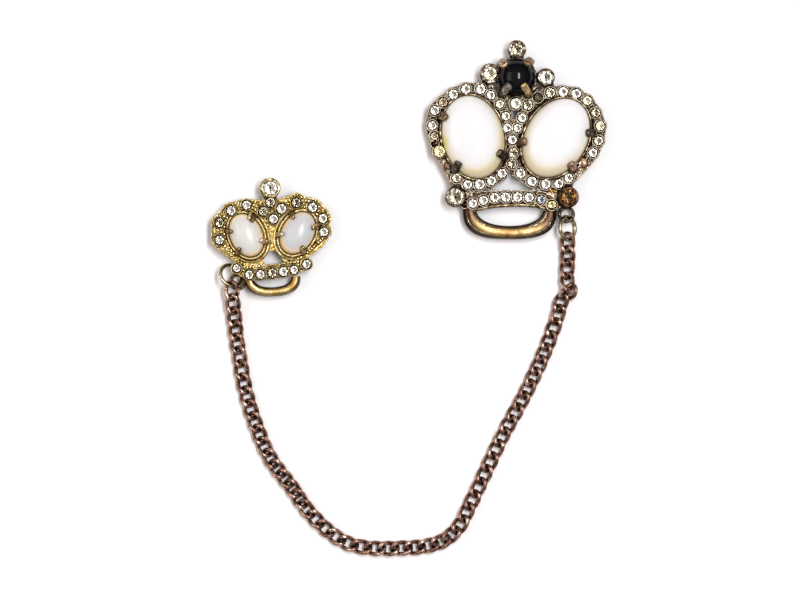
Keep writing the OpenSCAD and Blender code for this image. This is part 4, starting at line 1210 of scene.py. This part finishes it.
# %% Castings and pin backs
for name, finish in (("large_crown_frame", rose_plate), ("small_crown_frame", gilt),
                     ("large_pin_back", pin_brass), ("small_pin_back", pin_brass)):
    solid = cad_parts[name]
    solid.data.materials.clear()
    solid.data.materials.append(finish)
    if finish == pin_brass:
        weld = solid.modifiers.new("weld", "WELD")
        weld.merge_threshold = 0.001 * MM
        soften = solid.modifiers.new("soften", "BEVEL")
        soften.width = 0.12 * MM
        soften.segments = 2
        soften.angle_limit = radians(50)
    print(name, "keeps its solid, finished as", finish.name)

# %% [markdown]
# ## Paper, light and camera
#
# The brooch lies on white paper. A tall narrow softbox stands to the right of the camera:
# it draws the bright streaks on the domes and the short soft shadows on the left. A wide
# weak one on the left keeps the shadows open, and a dim room gives the metal its dark
# side. The camera looks straight down from far away.

# %% Paper
def white_paper():
    """Uncoated paper is matt, and its fibres break up the light a little. They are drawn 0.6 mm
    apart, coarser than they are, so that they show."""
    made, tree = new_tree("white_paper")
    place = add(tree, "TexCoord").outputs["Object"]
    fibres = add(tree, "TexNoise", {"Vector": place, "Scale": 1 / (0.6 * MM), "Detail": 4.0}).outputs["Fac"]
    bump = add(tree, "Bump", {"Height": fibres, "Strength": 0.05, "Distance": 0.05 * MM}).outputs[0]
    shader = add(tree, "BsdfPrincipled", {"Base Color": "#F7F7F8", "Roughness": 0.8, "Normal": bump})
    add(tree, "OutputMaterial", {"Surface": shader.outputs[0]})
    return made


paper_mesh = bpy.data.meshes.new("paper")
paper_mesh.from_pydata([(-0.8, -0.8, 0), (0.8, -0.8, 0), (0.8, 0.8, 0), (-0.8, 0.8, 0)], [], [(0, 1, 2, 3)])
paper_mesh.materials.append(white_paper())
paper = bpy.data.objects.new("paper", paper_mesh)
scene.collection.objects.link(paper)

# %% Lights and room
def softbox(name, place, size, power, colour):
    """An area light that faces the brooch, its size along x and along y in metres."""
    data = bpy.data.lights.new(name, "AREA")
    data.shape = "RECTANGLE"
    data.size, data.size_y = size
    data.energy = power
    data.color = tint(colour)[:3]
    made = bpy.data.objects.new(name, data)
    away = Vector(place).normalized()
    side = Vector((0, 1, 0)).cross(away).normalized()
    facing = Matrix((side, away.cross(side), away)).transposed().to_4x4()
    made.matrix_world = Matrix.Translation(place) @ facing
    scene.collection.objects.link(made)


softbox("tall_softbox", (0.22, 0.13, 0.85), (0.15, 0.5), 6.1, "#FBFCFF")
softbox("left_softbox", (-0.75, 0.1, 0.75), (0.5, 0.9), 3.0, "#FFF4EC")
# The room is bright overhead and dark towards the horizon, which darkens every rounded edge
room_light, room_tree = new_tree("dim_room", bpy.data.worlds)
upward = add(room_tree, "SeparateXYZ", {0: add(room_tree, "TexCoord").outputs["Generated"]}).outputs[2]
strength = add(room_tree, "MapRange", {"Value": upward, "From Min": 0.2, "From Max": 0.9,
                                       "To Min": 0.12, "To Max": 0.62}).outputs[0]
glow = add(room_tree, "Background", {"Color": "#FFF3EB", "Strength": strength})
add(room_tree, "OutputWorld", {"Surface": glow.outputs[0]})
scene.world = room_light
print("lights:", len(bpy.data.lights))

# %% Camera
FRAME_WIDTH = 172
CAMERA_AWAY = 900
SENSOR = 36
lens = bpy.data.cameras.new("camera")
lens.sensor_width = SENSOR
lens.lens = SENSOR * CAMERA_AWAY / FRAME_WIDTH
lens.clip_end = 10
camera = bpy.data.objects.new("camera", lens)
camera.location = (-1.9 * MM, -0.3 * MM, (CAMERA_AWAY + 3) * MM)
scene.collection.objects.link(camera)
scene.camera = camera
scene.view_settings.view_transform = "Standard"
print("the picture is", FRAME_WIDTH, "mm wide")
